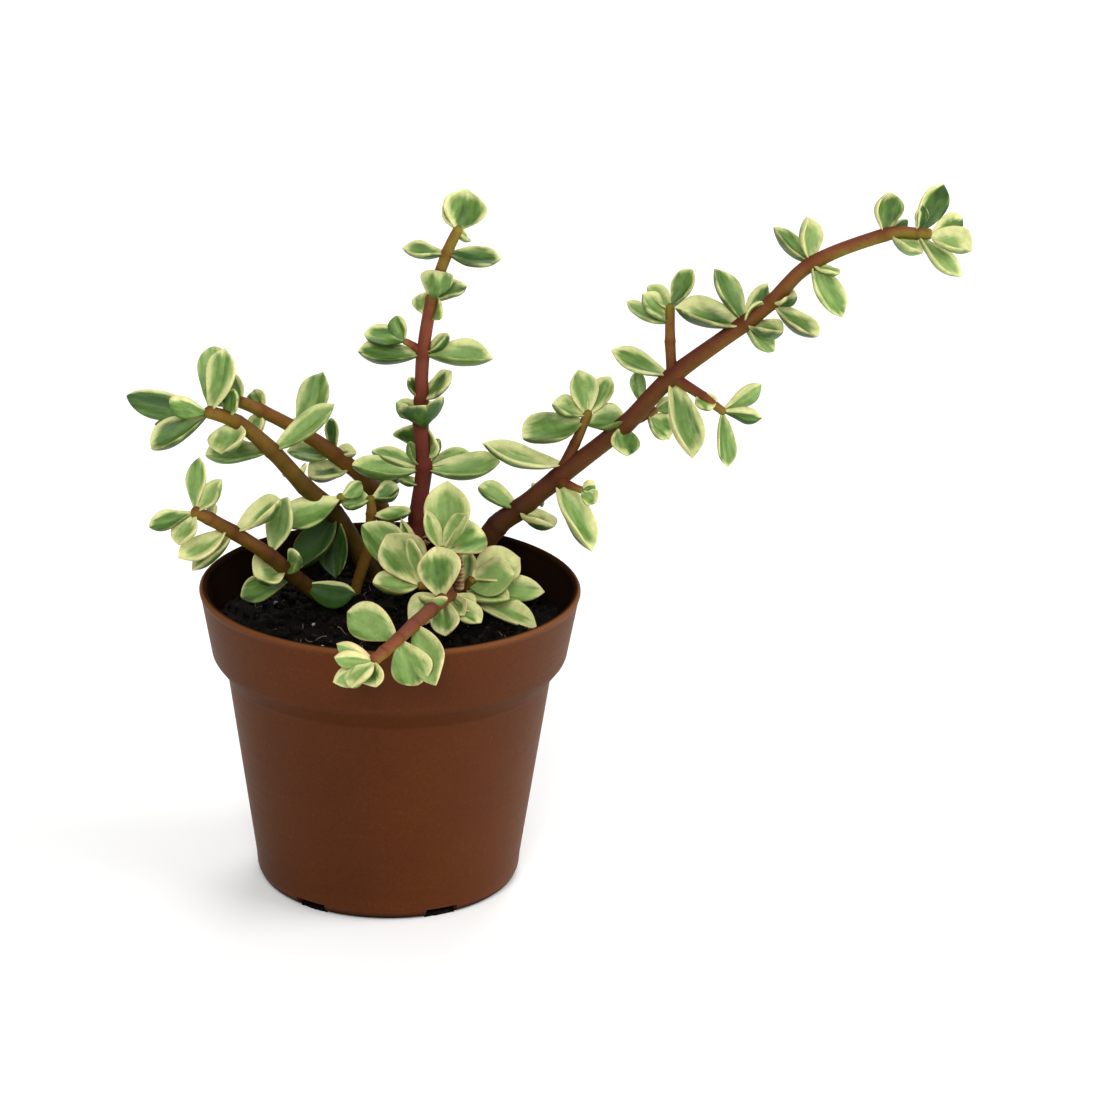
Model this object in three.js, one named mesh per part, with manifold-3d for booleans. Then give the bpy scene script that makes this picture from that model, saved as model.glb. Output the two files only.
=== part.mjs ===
// A jade plant with cream edged leaves in a plain brown nursery pot.
// Millimetres, +Z up, origin in the middle of the underside of the pot.
// The pot and the soil are turned shapes. Each leafy stem is one solid: a bent
// turned stem with its leaves sunk into it, standing in a plain hole in the soil.
import * as THREE from "three";
import { mergeVertices } from "three/addons/utils/BufferGeometryUtils.js";
import Module from "manifold-3d";

const wasm = await Module();
wasm.setup();

// Pot
const potHeight = 69;
const rimRadius = 42.5;
const collarFootZ = 53.4;
const collarFootRadius = 39.7;
const ledgeZ = 48.9;
const wallTopRadius = 36.3;
const wallFootRadius = 29.6;
const cornerRise = 2.4;
const floorRadius = 27.6;
const wallThickness = 1.2;
const lipThickness = 1.7;
const lipDrop = 1.6;
const floorThickness = 1.5;
const cornerReach = 1.3;
const cornerFootRise = 0.6;
const collarBevel = 0.5;
const lipStep = 0.3;
const lipEdge = 0.9;
const lipRounding = 0.4;
const innerCornerRise = 1.5;
const innerFloorRadius = 27;
const potSegments = 48;

// Drain slots at the corner of wall and floor
const slotCount = 6;
const slotWidth = 7.5;
const slotDepth = 6;
const slotHeight = 2.3;
const slotFirstAngle = -65.7;

// Soil
const soilTop = 59.3;
const soilRelief = 0.8;
const broadWave = 0.29;
const broadShare = 0.5;
const fineWave = 0.77;
const fineShare = 0.3;
const seatGap = 0.3;
const soilEdgeZ = 58.3;
const soilFootInset = 0.8;
const soilSegments = 32;
const soilRings = [32, 24, 16, 8];
const holeDepth = 13;
const holeGap = 0.45;
const holeSides = 16;
const rootRise = 1;
const rootBend = 3;

// The plant's places are given as they are seen from the front and a little above:
// right and up of the middle of the rim, and away from the eye, all in millimetres.
// What lies further away is spread by its distance, so it stays on the same line of sight.
const eye = new THREE.Vector3(4.15, -850, 381.7);
const eyeTurn = 2.11;
const eyeDrop = 19.69;
const eyeTilt = 1.2;

// Stems
const stemSides = 8;
const curveTension = 0.5;
const sidewaysChord = 0.7;
const jointSwelling = 0.17;
const jointReach = 0.18;
const firstJoint = 1;
const betweenJoints = 0.5;
const besideJoint = 0.14;

// Leaves
const leafSides = 4;
const leafStations = 6;
const leafThickness = 2;
const leafSwell = 1.45;
const leafBluntness = 0.6;
const leafRounding = 0.7;
const leafThinness = 0.35;
const leafCup = 0.15;
const leafSag = 0.07;
const tipLeafDrop = 0.16;
const pointSize = 1e-6;
const light = new THREE.Vector3(-0.1, -0.6, 0.8).normalize();

// One entry for each shoot: the points of its path as [right, up, away], its thickness at
// the foot and at the tip, and its leaves as
// [place along the path, tip right, tip up, tip away from the stem, width, share turned to light].
const plant = {
  upright_stem: {
    root: [6, 24],
    shoots: [
      {
        path: [
          [6, 4.5, 23.4], [6, 14.5, 18.7], [7.5, 25.7, 14.2], [6.8, 36, 9.4], [6.9, 41, 7.6],
          [7.3, 51.3, 3.9], [9.3, 63.4, -1.5], [12.6, 73.7, -6.2], [15.5, 79.7, -8.9],
        ],
        thick: [4.2, 2.2],
        leaves: [
          [8, 17.2, 88, -2, 10, 0.6], [8, 12.6, 85.3, 3, 5.5, 0.5], [7.9, 17.8, 76.5, 3, 4, 0.5],
          [7, 2.6, 75.5, 1, 5, 0.5], [7, 24.7, 71.9, -1, 7, 0.5],
          [6, 11.2, 70, -5, 7.5, 0], [6, 17, 67, 1, 5, 0.5], [6.2, 8.7, 59.8, 4, 8.5, 1],
          [5, -7.3, 51.3, -2, 7.5, 0.5], [5, 22.9, 50.9, -1, 8, 0.5], [5, 13.3, 55.4, -2, 4, 0.5],
          [4, 3.7, 45.8, -2, 3.5, 0.5], [4, 13.8, 47.4, -2, 6.5, 0.5],
          [3, 8.4, 39, -9, 11, 0], [3, 6.8, 29.8, 6, 12, 1], [3.1, 1.4, 40.6, -3, 5.5, 0.3],
          [2, -8.6, 26.3, -2, 7, 0.5], [2, 24.7, 26.1, -2, 8, 0.5], [2, -4.1, 30.4, 3, 5.5, 0.5],
          [2, 3.5, 31.5, -3, 3.5, 0.5], [2, 11.2, 32.3, -2, 3.5, 0.5], [2, 17.7, 29, 5, 5, 0.5],
          [1.7, 1.9, 23.6, -2, 3.5, 0.5], [4, 8.5, 38, 11, 7, 0.2],
        ],
      },
      {
        path: [[7.3, 51.3, 3.9], [5.2, 53, 3], [3, 54.2, 2.5]],
        thick: [1.8, 1.5],
        leaves: [[2, -5.9, 55.8, 0, 6, 0.5], [2, 1.2, 59.8, 0, 5, 0.5]],
      },
    ],
  },
  right_stem: {
    root: [16, 21],
    shoots: [
      {
        path: [
          [17.7, 4.5, 18.6], [23.8, 12.9, 15.6], [28.9, 16.7, 13.7], [37.1, 23.4, 10.7],
          [52, 35.2, 5.4], [62.8, 46.2, 0.5], [79, 58, -5.9], [85.1, 62.9, -8.7],
          [94, 71.4, -12.8], [110.3, 77.8, -16.2], [117.6, 78.1, -16.8], [120.8, 77.9, -17.3],
        ],
        thick: [5.2, 2.3],
        leaves: [
          [2, 20, 22, -3, 7, 0.5], [2, 36.6, 12.5, -6, 7.5, 0.5],
          [3, 44.6, 6.8, -4, 8.5, 0.5],
          [4.4, 54.4, 47, 1, 4, 0.5], [4, 52.9, 28.3, -4, 7, 0.5],
          [5, 49.2, 52.2, -1, 7, 0.5], [5, 66.9, 27.7, -3, 9, 0.5],
          [6, 63.2, 60.6, -1, 9.5, 0.6], [6, 72.2, 70.3, 1, 6.5, 0.5], [6, 83.1, 62.9, -4, 4.5, 0.5],
          [6, 87.6, 55.6, -4, 6.5, 0.5], [6, 85.8, 52, 3, 7, 0.5], [6, 83.8, 66.7, 5, 4.5, 0.5],
          [7, 90.7, 64.3, -2, 7, 0.5], [7, 94.9, 54.5, -1, 7, 0.5],
          [8, 92.5, 81.7, 0, 7, 0.5], [8, 85.4, 79.5, 3, 5, 0.5], [8, 101, 59.4, -1, 8, 0.5],
          [8, 100.3, 68.7, -4, 4, 0.5],
          [9, 110.8, 87.3, 0, 8, 0.5], [9.1, 118.8, 73.8, -2, 5, 0.5], [9, 115.4, 81, 4, 3.5, 0.5],
          [10, 122.8, 89.3, 0, 7, 0.5], [10, 118.6, 84.6, -2, 3.5, 0.5], [10, 127.7, 68.7, 0, 6.5, 0.5],
          [11, 127.6, 81.8, 1, 5.5, 0.6], [11, 129.8, 74.8, -3, 9, 0.8],
          [2.6, 33, 21, 10, 7, 0.1], [4, 50, 34, 11, 7, 0.1], [6, 80, 60, 10, 6.5, 0.1],
          [8, 96, 72, 9, 6, 0.1],
        ],
      },
      {
        path: [[37.1, 23.4, 10.7], [40, 22, 7], [43, 20.7, 5]],
        thick: [2, 1.6],
        leaves: [[2, 46, 18.2, -1, 4.5, 0.5], [2, 45.6, 22.6, 0, 4.5, 0.5]],
      },
      {
        path: [[37.1, 23.4, 10.7], [41.2, 31.3, 8.5], [44.4, 38.7, 6]],
        thick: [2.6, 2],
        leaves: [
          [0.4, 20.4, 31, -1, 8.5, 0.5],
          [1.7, 29.6, 31.6, -4, 11, 0.7], [1.6, 52.6, 36.4, -3, 7.5, 0.9],
          [2, 41.8, 47.8, 0, 7, 0.7], [2, 49, 46.4, 2, 5.5, 0.5], [2, 36.3, 40.5, -2, 6.5, 0.6],
        ],
      },
      {
        path: [[52, 35.2, 5.4], [56, 37, 8], [59.5, 39, 9]],
        thick: [2.2, 1.7],
        leaves: [[2, 63.5, 41.3, 2, 5, 0.5], [1.4, 62.4, 32.2, 1, 7.5, 0.7]],
      },
      {
        path: [[62.8, 46.2, 0.5], [62.4, 54, -1.5], [62.4, 62.5, -4]],
        thick: [2.6, 2],
        leaves: [
          [1.5, 56.3, 64.7, -2, 6, 0.5], [1.5, 52.5, 62.5, 3, 4.5, 0.5],
          [2, 67.5, 70, -1, 6, 0.5], [2, 57.5, 66.8, 3, 5, 0.5],
        ],
      },
      {
        path: [[62.8, 46.2, 0.5], [69.8, 41.7, -3], [74.7, 38, -4.5]],
        thick: [2.6, 1.8],
        leaves: [
          [0.8, 71.4, 38.6, -3, 5.5, 0.9], [2, 82.9, 44.4, 0, 6, 0.5],
          [2, 82.9, 36.8, -2, 5, 0.5], [2, 75.6, 26.1, 0, 5, 0.5],
        ],
      },
    ],
  },
  left_stem: {
    root: [-4, 28],
    shoots: [
      {
        path: [
          [-5.7, 4.9, 26.9], [-12.4, 15.6, 16.7], [-19.1, 21.7, 9.2], [-26.4, 29.7, 1.1],
          [-34, 35.9, -4.4], [-41.4, 38.6, -8.5],
        ],
        thick: [4.5, 2.9],
        leaves: [
          [5, -58.8, 41.7, 2, 8, 0.5], [5, -49.2, 41.3, -4, 6, 0.5], [5, -52.8, 35.7, 6, 6, 0.5],
          [5, -53.5, 30.4, -1, 8, 0.5],
          [5, -36.7, 52.5, -2, 8, 0.5], [5, -39.4, 53.1, 4, 8, 0.5], [4.3, -35.1, 43.5, -2, 5, 0.5],
          [4, -37.6, 28.8, -4, 10, 0.6],
          [3, -12.4, 40.2, -2, 7, 0.5], [3, -41.2, 28, -2, 8, 0.5],
          [1, -19.4, 2.8, -5, 9, 0.6], [1, -12.2, 1.2, 3, 8, 0.5],
          [2.3, -21, 25, 6, 6, 0.2],
        ],
      },
      {
        path: [[-13.5, 16.7, 15.6], [-11.8, 18.6, 12.5], [-10.8, 19.6, 10.5]],
        thick: [2.2, 1.8],
        leaves: [[2, -24.2, 13.4, -4, 9, 0.9], [2, -6.5, 22.5, 2, 5, 0.5]],
      },
    ],
  },
  rear_left_stem: {
    root: [0, 31.5],
    shoots: [
      {
        path: [
          [0.3, 8.9, 30.8], [-4.1, 21.2, 24.3], [-12.4, 28.8, 17.3], [-20.2, 34.1, 11.2],
          [-28.7, 38.6, 5.3], [-34, 40.8, 2.4],
        ],
        thick: [4, 2.7],
        leaves: [
          [5, -35.4, 46.9, 1, 5, 0.5], [5, -42, 44, 4, 6, 0.5], [4, -30, 43.5, 1, 5, 0.5],
          [4, -30.2, 33.5, 2, 5, 0.5], [3, -15.5, 47.5, 0, 8.5, 0.5], [3, -22, 36, 12, 8, 0.5],
          [2, -13.3, 37, -2, 3.5, 0.5], [2, -23.1, 29.7, -1, 6, 0.5], [2, -7.7, 29.3, 3, 4.5, 0.5],
          [1.6, -18.4, 23.8, -5, 8, 0.6], [1, 3, 26, 8, 7, 0.5],
        ],
      },
    ],
  },
  low_left_stem: {
    root: [-13.4, 12.3],
    shoots: [
      {
        path: [
          [-15.3, -2.9, 11.6], [-20.9, 1.1, 6], [-26.9, 6.3, -0.2], [-35.1, 11.6, -6.3],
          [-40.3, 14.5, -9.4], [-44.1, 16.3, -12.2],
        ],
        thick: [3.8, 2.7],
        leaves: [
          [5, -42.7, 28.3, 0, 5, 0.5], [5, -54, 13, 0, 5, 0.5], [5, -37.5, 23.2, -2, 5.5, 0.5],
          [5, -47, 8.5, -2, 7, 0.5], [3.2, -47, 4.9, -4, 7, 0.5], [3, -44.3, 2.9, 2, 6, 0.5],
          [3, -24, 18.3, -3, 7, 0.5], [2, -23.1, 19.4, 1, 8, 0.5], [1.4, -30.3, 1.4, -5, 9.5, 0.9],
          [1.4, -20.3, 6.2, -4, 6.5, 0.9],
          [1.1, -33.4, -3, -2, 7, 0.5], [0.7, -7.4, -2.6, -4, 7.5, 0.5],
          [4, -40, 17, 9, 6, 0.2],
        ],
      },
    ],
  },
  back_shoot: {
    root: [-8, 20],
    shoots: [
      {
        path: [[-5, 8, 18], [-4.3, 15.5, 14.5], [-4.4, 19.6, 13]],
        thick: [2.6, 2],
        leaves: [[2, -11, 18.4, 0, 8, 0.5], [2, 2.1, 21, 1, 6, 0.5], [1, 4.6, 15.8, -2, 5, 0.5]],
      },
    ],
  },
  front_stem: {
    root: [14, 9],
    shoots: [
      {
        path: [
          [13.3, -2.5, 0.9], [8.8, -6, -23.4], [5, -9.3, -39.2], [1.9, -12.2, -44.5],
          [-1.5, -15.3, -47.6], [-4.1, -17.5, -50],
        ],
        thick: [3.2, 2.4],
        leaves: [
          [0.45, 10.1, 8.3, -2, 10, 1], [0.7, 9.4, -3.4, -6, 6.5, 1],
          [0.35, 3.7, -8.2, 1, 8.5, 1], [0.4, 12.3, -12, -6, 6.5, 1],
          [3.1, -10.3, -6, 7, 8.5, 0.6], [3, 6.2, -22.6, 0, 9, 0.8], [1.9, 9.8, -22, -10, 7.5, 0.7],
          [5, -12.2, -13.4, 1, 5, 0.5], [5, -12.4, -16.5, -3, 5, 0.5], [5, -12.8, -22, 1, 6, 0.5],
          [5, -9, -22.8, -5, 6, 0.5], [5, -3.5, -23, -2, 6, 0.5],
        ],
      },
      {
        path: [[13.3, -2.5, 0.9], [11.3, 2.2, -2], [11.5, 8.3, -5.1]],
        thick: [3, 2.2],
        leaves: [
          [2, 12.6, 23, -1, 10.5, 1], [2, 7.7, 16.5, -3, 4, 0.5], [2, 17, 15.6, -3, 5, 0.5],
          [2, 20.7, 12.2, 4, 10, 0.9], [0, 19, -5.6, 1, 5, 0.5], [0, 16.6, -7.1, -4, 4.5, 0.5],
          [0, 20.2, -9, -2, 6, 0.5],
        ],
      },
      {
        path: [[12, 0, -0.6], [8.8, -0.4, -1.5], [6.1, -0.4, -2]],
        thick: [2.4, 1.9],
        leaves: [
          [2, -6.3, 12.6, 4, 9.5, 1], [2, -0.9, 11.1, -2, 11, 1], [2, -3.9, 0.4, -5, 7, 0.8],
          [2, 3.9, 10, -5, 4, 0.5], [2, 2.6, 14.7, 4, 4.5, 0.5],
        ],
      },
    ],
  },
  right_shoot: {
    root: [18.8, 10],
    shoots: [
      {
        path: [[16.6, -3.3, 9.7], [16.8, -0.9, 7.7], [18.4, 1.2, 5.8]],
        thick: [2.6, 2],
        leaves: [
          [2, 29, 6, 4, 10, 1], [1.3, 27.6, 2.4, -4, 10.5, 1], [1, 17.3, 7.6, 0, 4, 0.5],
          [1, 26.5, -3.2, -7, 7, 0.5], [1.5, 34.5, -1.8, 1, 7, 0.5], [0.5, 32.6, -8.8, -10, 7, 0.5],
        ],
      },
    ],
  },
};

// Colours of each kind of surface
const finishes = {
  pot: new THREE.MeshStandardMaterial({ color: 0x6f4c3d, roughness: 0.55, metalness: 0 }),
  soil: new THREE.MeshStandardMaterial({ color: 0x1d1814, roughness: 0.95, metalness: 0 }),
  plant: new THREE.MeshStandardMaterial({ color: 0x5f8148, roughness: 0.45, metalness: 0 }),
};

// Corners nearer than this are one corner.
const mergeReach = 1e-4;

// Turns a closed geometry into a solid, its shared corners merged.
function solid(geometry) {
  geometry.deleteAttribute("normal");
  geometry.deleteAttribute("uv");
  const merged = mergeVertices(geometry, mergeReach);
  const position = merged.getAttribute("position");
  const triVerts = [];
  const index = merged.getIndex().array;
  for (let i = 0; i < index.length; i += 3) {
    const [a, b, c] = [index[i], index[i + 1], index[i + 2]];
    if (a !== b && b !== c && c !== a) triVerts.push(a, b, c);
  }
  return new wasm.Manifold(new wasm.Mesh({
    numProp: 3,
    vertProperties: new Float32Array(position.array),
    triVerts: new Uint32Array(triVerts),
  }));
}

// Turns a solid back into a geometry that can be shown.
function shown(body) {
  const mesh = body.getMesh();
  const geometry = new THREE.BufferGeometry();
  geometry.setAttribute("position", new THREE.BufferAttribute(new Float32Array(mesh.vertProperties), 3));
  geometry.setIndex(new THREE.BufferAttribute(new Uint32Array(mesh.triVerts), 1));
  geometry.computeVertexNormals();
  return geometry;
}

// Turns a profile of [radius, height] pairs about the vertical axis.
function turned(profile, segments) {
  const points = profile.map(([radius, height]) => new THREE.Vector2(radius, height));
  const geometry = new THREE.LatheGeometry(points, segments);
  geometry.rotateX(Math.PI / 2);
  return geometry;
}

// Outer radius of the pot at a height, without the rounded corner.
function potRadius(z) {
  if (z < ledgeZ) return THREE.MathUtils.lerp(wallFootRadius, wallTopRadius, z / ledgeZ);
  if (z < collarFootZ) {
    return THREE.MathUtils.lerp(wallTopRadius, collarFootRadius, (z - ledgeZ) / (collarFootZ - ledgeZ));
  }
  return THREE.MathUtils.lerp(collarFootRadius, rimRadius, (z - collarFootZ) / (potHeight - collarFootZ));
}

function innerRadius(z) {
  return potRadius(z) - wallThickness;
}

function makePot() {
  const lipZ = potHeight - lipDrop;
  const innerCornerZ = floorThickness + innerCornerRise;
  const profile = [
    [0, 0],
    [floorRadius, 0],
    [floorRadius + cornerReach, cornerFootRise],
    [potRadius(cornerRise), cornerRise],
    [wallTopRadius, ledgeZ],
    [collarFootRadius - collarBevel, collarFootZ - collarBevel],
    [collarFootRadius, collarFootZ],
    [rimRadius - lipStep, lipZ],
    [rimRadius, potHeight - lipEdge],
    [rimRadius - lipRounding, potHeight],
    [rimRadius - lipThickness + lipRounding, potHeight],
    [rimRadius - lipThickness, potHeight - lipRounding],
    [innerRadius(lipZ), lipZ],
    [innerRadius(collarFootZ), collarFootZ],
    [innerRadius(ledgeZ), ledgeZ],
    [innerRadius(innerCornerZ), innerCornerZ],
    [innerFloorRadius, floorThickness],
    [0, floorThickness],
  ];
  let pot = solid(turned(profile, potSegments));
  for (let i = 0; i < slotCount; i += 1) {
    const angle = THREE.MathUtils.degToRad(slotFirstAngle + (i * 360) / slotCount);
    const slot = new THREE.BoxGeometry(slotDepth, slotWidth, slotHeight * 2);
    slot.translate(wallFootRadius, 0, 0);
    slot.rotateZ(angle);
    pot = pot.subtract(solid(slot));
  }
  return pot;
}

// Low lumps of soil, the same on every build.
function lumps(x, y) {
  const broad = Math.cos(x * broadWave) * Math.cos(y * broadWave);
  const fine = Math.sin((x - y) * fineWave) + Math.cos((x + y) * fineWave);
  return soilRelief * (broadShare * broad + fineShare * fine);
}

function makeSoil(roots) {
  const footZ = floorThickness + seatGap;
  const cornerZ = footZ + innerCornerRise;
  const profile = [
    [0, footZ],
    [innerFloorRadius - soilFootInset, footZ],
    [innerRadius(cornerZ) - seatGap, cornerZ],
    [innerRadius(ledgeZ) - seatGap, ledgeZ],
    [innerRadius(collarFootZ) - seatGap, collarFootZ],
    [innerRadius(soilEdgeZ) - seatGap, soilTop],
    ...soilRings.map((radius) => [radius, soilTop]),
    [0, soilTop],
  ];
  const geometry = turned(profile, soilSegments);
  const position = geometry.getAttribute("position");
  for (let i = 0; i < position.count; i += 1) {
    if (position.getZ(i) > soilEdgeZ) {
      const x = position.getX(i);
      const y = position.getY(i);
      position.setZ(i, soilTop + lumps(x, y));
    }
  }
  let soil = solid(geometry);
  for (const [x, y, radius] of roots) {
    const hole = new THREE.CylinderGeometry(radius + holeGap, radius + holeGap, holeDepth * 2, holeSides);
    hole.rotateX(Math.PI / 2);
    hole.translate(x, y, soilTop);
    soil = soil.subtract(solid(hole));
  }
  return soil;
}

// The three directions of sight, and the place that is seen at a given spot and depth.
const turn = THREE.MathUtils.degToRad(eyeTurn);
const drop = THREE.MathUtils.degToRad(eyeDrop);
const tilt = THREE.MathUtils.degToRad(eyeTilt);
const ahead = new THREE.Vector3(
  Math.sin(turn) * Math.cos(drop), Math.cos(turn) * Math.cos(drop), -Math.sin(drop),
);
const level = new THREE.Vector3(Math.cos(turn), -Math.sin(turn), 0);
const upright = new THREE.Vector3().crossVectors(level, ahead);
const sightRight = level.clone().multiplyScalar(Math.cos(tilt)).addScaledVector(upright, Math.sin(tilt));
const sightUp = upright.clone().multiplyScalar(Math.cos(tilt)).addScaledVector(level, -Math.sin(tilt));
const rimCentre = new THREE.Vector3(0, 0, potHeight);
const eyeDistance = rimCentre.clone().sub(eye).dot(ahead);

function seen(right, up, away) {
  const spot = rimCentre.clone().addScaledVector(sightRight, right).addScaledVector(sightUp, up);
  return spot.sub(eye).multiplyScalar(1 + away / eyeDistance).add(eye);
}

// A shoot's curve. A shoot with a root stands straight in its hole first.
const rootHeights = [soilTop + rootRise, soilTop - rootBend, soilTop - holeDepth + rootRise];

function shootCurve(shoot, root) {
  const points = shoot.path.map(([right, up, away]) => seen(right, up, away));
  if (root) {
    const [x, y] = root;
    for (const z of rootHeights) {
      points.unshift(new THREE.Vector3(x, y, z));
    }
  }
  const curve = new THREE.CatmullRomCurve3(points, false, "catmullrom", curveTension);
  const first = root ? rootHeights.length : 0;
  const last = points.length - 1;
  const at = (place) => curve.getPoint((place + first) / last);
  const along = (place) => curve.getTangent((place + first) / last);
  const chord = points[last].clone().sub(points[first]).normalize();
  const across = Math.abs(chord.y) < sidewaysChord ? new THREE.Vector3(0, 1, 0) : new THREE.Vector3(1, 0, 0);
  return { at, along, across, first, last: last - first };
}

// Stem radius at a place along the path, swollen at each joint.
function stemRadius(shoot, line, place) {
  const share = THREE.MathUtils.clamp(place / line.last, 0, 1);
  const radius = THREE.MathUtils.lerp(shoot.thick[0], shoot.thick[1], share) / 2;
  if (place < firstJoint - betweenJoints) return radius;
  const offset = place - Math.round(place);
  return radius * (1 + jointSwelling * Math.exp(-((offset / jointReach) ** 2)));
}

function makeStem(shoot, line) {
  const places = [-line.first];
  for (let i = 1 - line.first; i < line.last; i += 1) {
    if (i < firstJoint) places.push(i - betweenJoints, i);
    else places.push(i - betweenJoints, i - besideJoint, i + besideJoint);
  }
  places.push(line.last - betweenJoints, line.last - besideJoint, line.last);
  const profile = [new THREE.Vector2(0, places[0])];
  for (const place of places) {
    profile.push(new THREE.Vector2(stemRadius(shoot, line, place), place));
  }
  profile.push(new THREE.Vector2(0, line.last));
  const geometry = new THREE.LatheGeometry(profile, stemSides);
  const position = geometry.getAttribute("position");
  for (let i = 0; i < position.count; i += 1) {
    const place = position.getY(i);
    const tangent = line.along(place);
    const side = new THREE.Vector3().crossVectors(tangent, line.across).normalize();
    const front = new THREE.Vector3().crossVectors(side, tangent);
    const point = line.at(place);
    point.addScaledVector(side, position.getX(i)).addScaledVector(front, position.getZ(i));
    position.setXYZ(i, point.x, point.y, point.z);
  }
  return solid(geometry);
}

// Half the leaf's width, as a share of its widest, at a share of its length.
function leafOutline(share) {
  return Math.sin(Math.PI * share ** leafSwell) ** leafBluntness;
}

function makeLeaf(leaf, line) {
  const [place, right, up, away, width, toLight] = leaf;
  const foot = line.at(Math.min(place, line.last - tipLeafDrop));
  const footAway = foot.clone().sub(eye).dot(ahead) - eyeDistance;
  const tip = seen(right, up, footAway + away);
  const axis = tip.clone().sub(foot);
  const length = axis.length();
  axis.normalize();
  const tangent = line.along(place);
  const inward = tangent.clone().addScaledVector(axis, -tangent.dot(axis)).normalize();
  const lit = light.clone().addScaledVector(axis, -light.dot(axis)).normalize();
  const face = inward.lerp(lit, toLight).normalize();
  const across = new THREE.Vector3().crossVectors(axis, face);
  const geometry = new THREE.SphereGeometry(1, leafSides, leafStations);
  const position = geometry.getAttribute("position");
  const thickness = Math.min(leafThickness, width * leafThinness);
  for (let i = 0; i < position.count; i += 1) {
    const share = THREE.MathUtils.clamp((1 + position.getY(i)) / 2, 0, 1);
    const ring = Math.hypot(position.getX(i), position.getZ(i));
    const cosine = ring > pointSize ? position.getX(i) / ring : 0;
    const sine = ring > pointSize ? position.getZ(i) / ring : 0;
    const half = share < pointSize || share > 1 - pointSize ? 0 : leafOutline(share);
    const side = (half * cosine * width) / 2;
    const lift = (half ** leafRounding * sine * thickness) / 2
      + leafCup * width * half * cosine * cosine
      - leafSag * length * (1 - (2 * share - 1) ** 2);
    const point = foot.clone().addScaledVector(axis, share * length);
    point.addScaledVector(across, side).addScaledVector(face, lift);
    position.setXYZ(i, point.x, point.y, point.z);
  }
  return solid(geometry);
}

function makeLeafyStem({ root, shoots }) {
  let body = null;
  shoots.forEach((shoot, i) => {
    const line = shootCurve(shoot, i === 0 ? root : null);
    const stem = makeStem(shoot, line);
    body = body ? body.add(stem) : stem;
    for (const leaf of shoot.leaves) {
      body = body.add(makeLeaf(leaf, line));
    }
  });
  return body;
}

const group = new THREE.Group();

function place(name, body, finish) {
  const mesh = new THREE.Mesh(shown(body), finish);
  mesh.name = name;
  group.add(mesh);
}

const roots = Object.values(plant).map(({ root, shoots }) => [...root, shoots[0].thick[0] / 2]);
place("pot", makePot(), finishes.pot);
place("soil", makeSoil(roots), finishes.soil);
for (const [name, stem] of Object.entries(plant)) {
  place(name, makeLeafyStem(stem), finishes.plant);
}

export default group;
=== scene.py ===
import math
import random

import bmesh
import bpy
import numpy as np
from mathutils import Matrix, Vector, noise


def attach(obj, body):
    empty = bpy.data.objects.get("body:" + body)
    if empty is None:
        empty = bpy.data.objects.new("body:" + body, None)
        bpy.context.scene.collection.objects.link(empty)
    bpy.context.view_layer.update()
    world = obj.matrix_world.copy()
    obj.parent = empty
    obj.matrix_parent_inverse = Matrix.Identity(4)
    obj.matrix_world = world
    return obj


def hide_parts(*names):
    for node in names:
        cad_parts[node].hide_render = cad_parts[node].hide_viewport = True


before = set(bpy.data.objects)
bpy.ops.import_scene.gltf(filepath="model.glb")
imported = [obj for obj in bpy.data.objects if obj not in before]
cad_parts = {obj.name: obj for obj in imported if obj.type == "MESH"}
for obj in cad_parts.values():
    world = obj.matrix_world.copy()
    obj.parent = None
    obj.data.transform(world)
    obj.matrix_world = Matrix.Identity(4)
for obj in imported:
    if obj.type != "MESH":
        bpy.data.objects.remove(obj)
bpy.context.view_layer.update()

# A jade plant with cream edged leaves in a brown nursery pot.
# The plant's numbers below are millimetres, and mm turns them into metres.
mm = 0.001

# Where the photograph is taken from
eye = {
    "place": (4.15, -850, 381.7),
    "turn": 2.11,
    "drop": 19.69,
    "tilt": 1.2,
    "lens": 132.8,
    "sensor": 36,
    "rimHeight": 69,
}


def sightLines():
    # level, upright and ahead of the eye, tilted as the camera is
    turn, drop, tilt = (math.radians(eye[key]) for key in ("turn", "drop", "tilt"))
    ahead = Vector((math.sin(turn) * math.cos(drop), math.cos(turn) * math.cos(drop), -math.sin(drop)))
    level = Vector((math.cos(turn), -math.sin(turn), 0))
    upright = level.cross(ahead)
    right = level * math.cos(tilt) + upright * math.sin(tilt)
    up = upright * math.cos(tilt) - level * math.sin(tilt)
    return right, up, ahead


def makeCamera():
    right, up, ahead = sightLines()
    camera = bpy.data.objects.new("camera", bpy.data.cameras.new("camera"))
    bpy.context.scene.collection.objects.link(camera)
    camera.data.lens = eye["lens"]
    camera.data.sensor_width = eye["sensor"]
    camera.data.clip_start = 0.01
    camera.data.clip_end = 20
    facing = Matrix((right, up, -ahead)).transposed().to_4x4()
    camera.matrix_world = Matrix.Translation(Vector(eye["place"]) * mm) @ facing
    bpy.context.scene.camera = camera
    print("camera set")


makeCamera()


# Small helpers for meshes and materials
def addPiece(name, verts, faces, slot, nodes):
    mesh = bpy.data.meshes.new(name)
    mesh.from_pydata([tuple(v) for v in verts], [], [tuple(f) for f in faces])
    mesh.validate()
    mesh.update()
    mesh.polygons.foreach_set("use_smooth", [True] * len(mesh.polygons))
    piece = bpy.data.objects.new(name, mesh)
    bpy.context.scene.collection.objects.link(piece)
    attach(piece, "root")
    if nodes:
        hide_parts(*nodes)
    return piece


def addMarks(piece, name, rows):
    # four numbers for each corner point, which the materials read
    layer = piece.data.color_attributes.new(name, "FLOAT_COLOR", "POINT")
    layer.data.foreach_set("color", np.asarray(rows, dtype=np.float32).ravel())


def newMaterial(name):
    material = bpy.data.materials.new(name)
    material.use_nodes = True
    tree = material.node_tree
    return material, tree, tree.nodes["Principled BSDF"]


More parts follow.
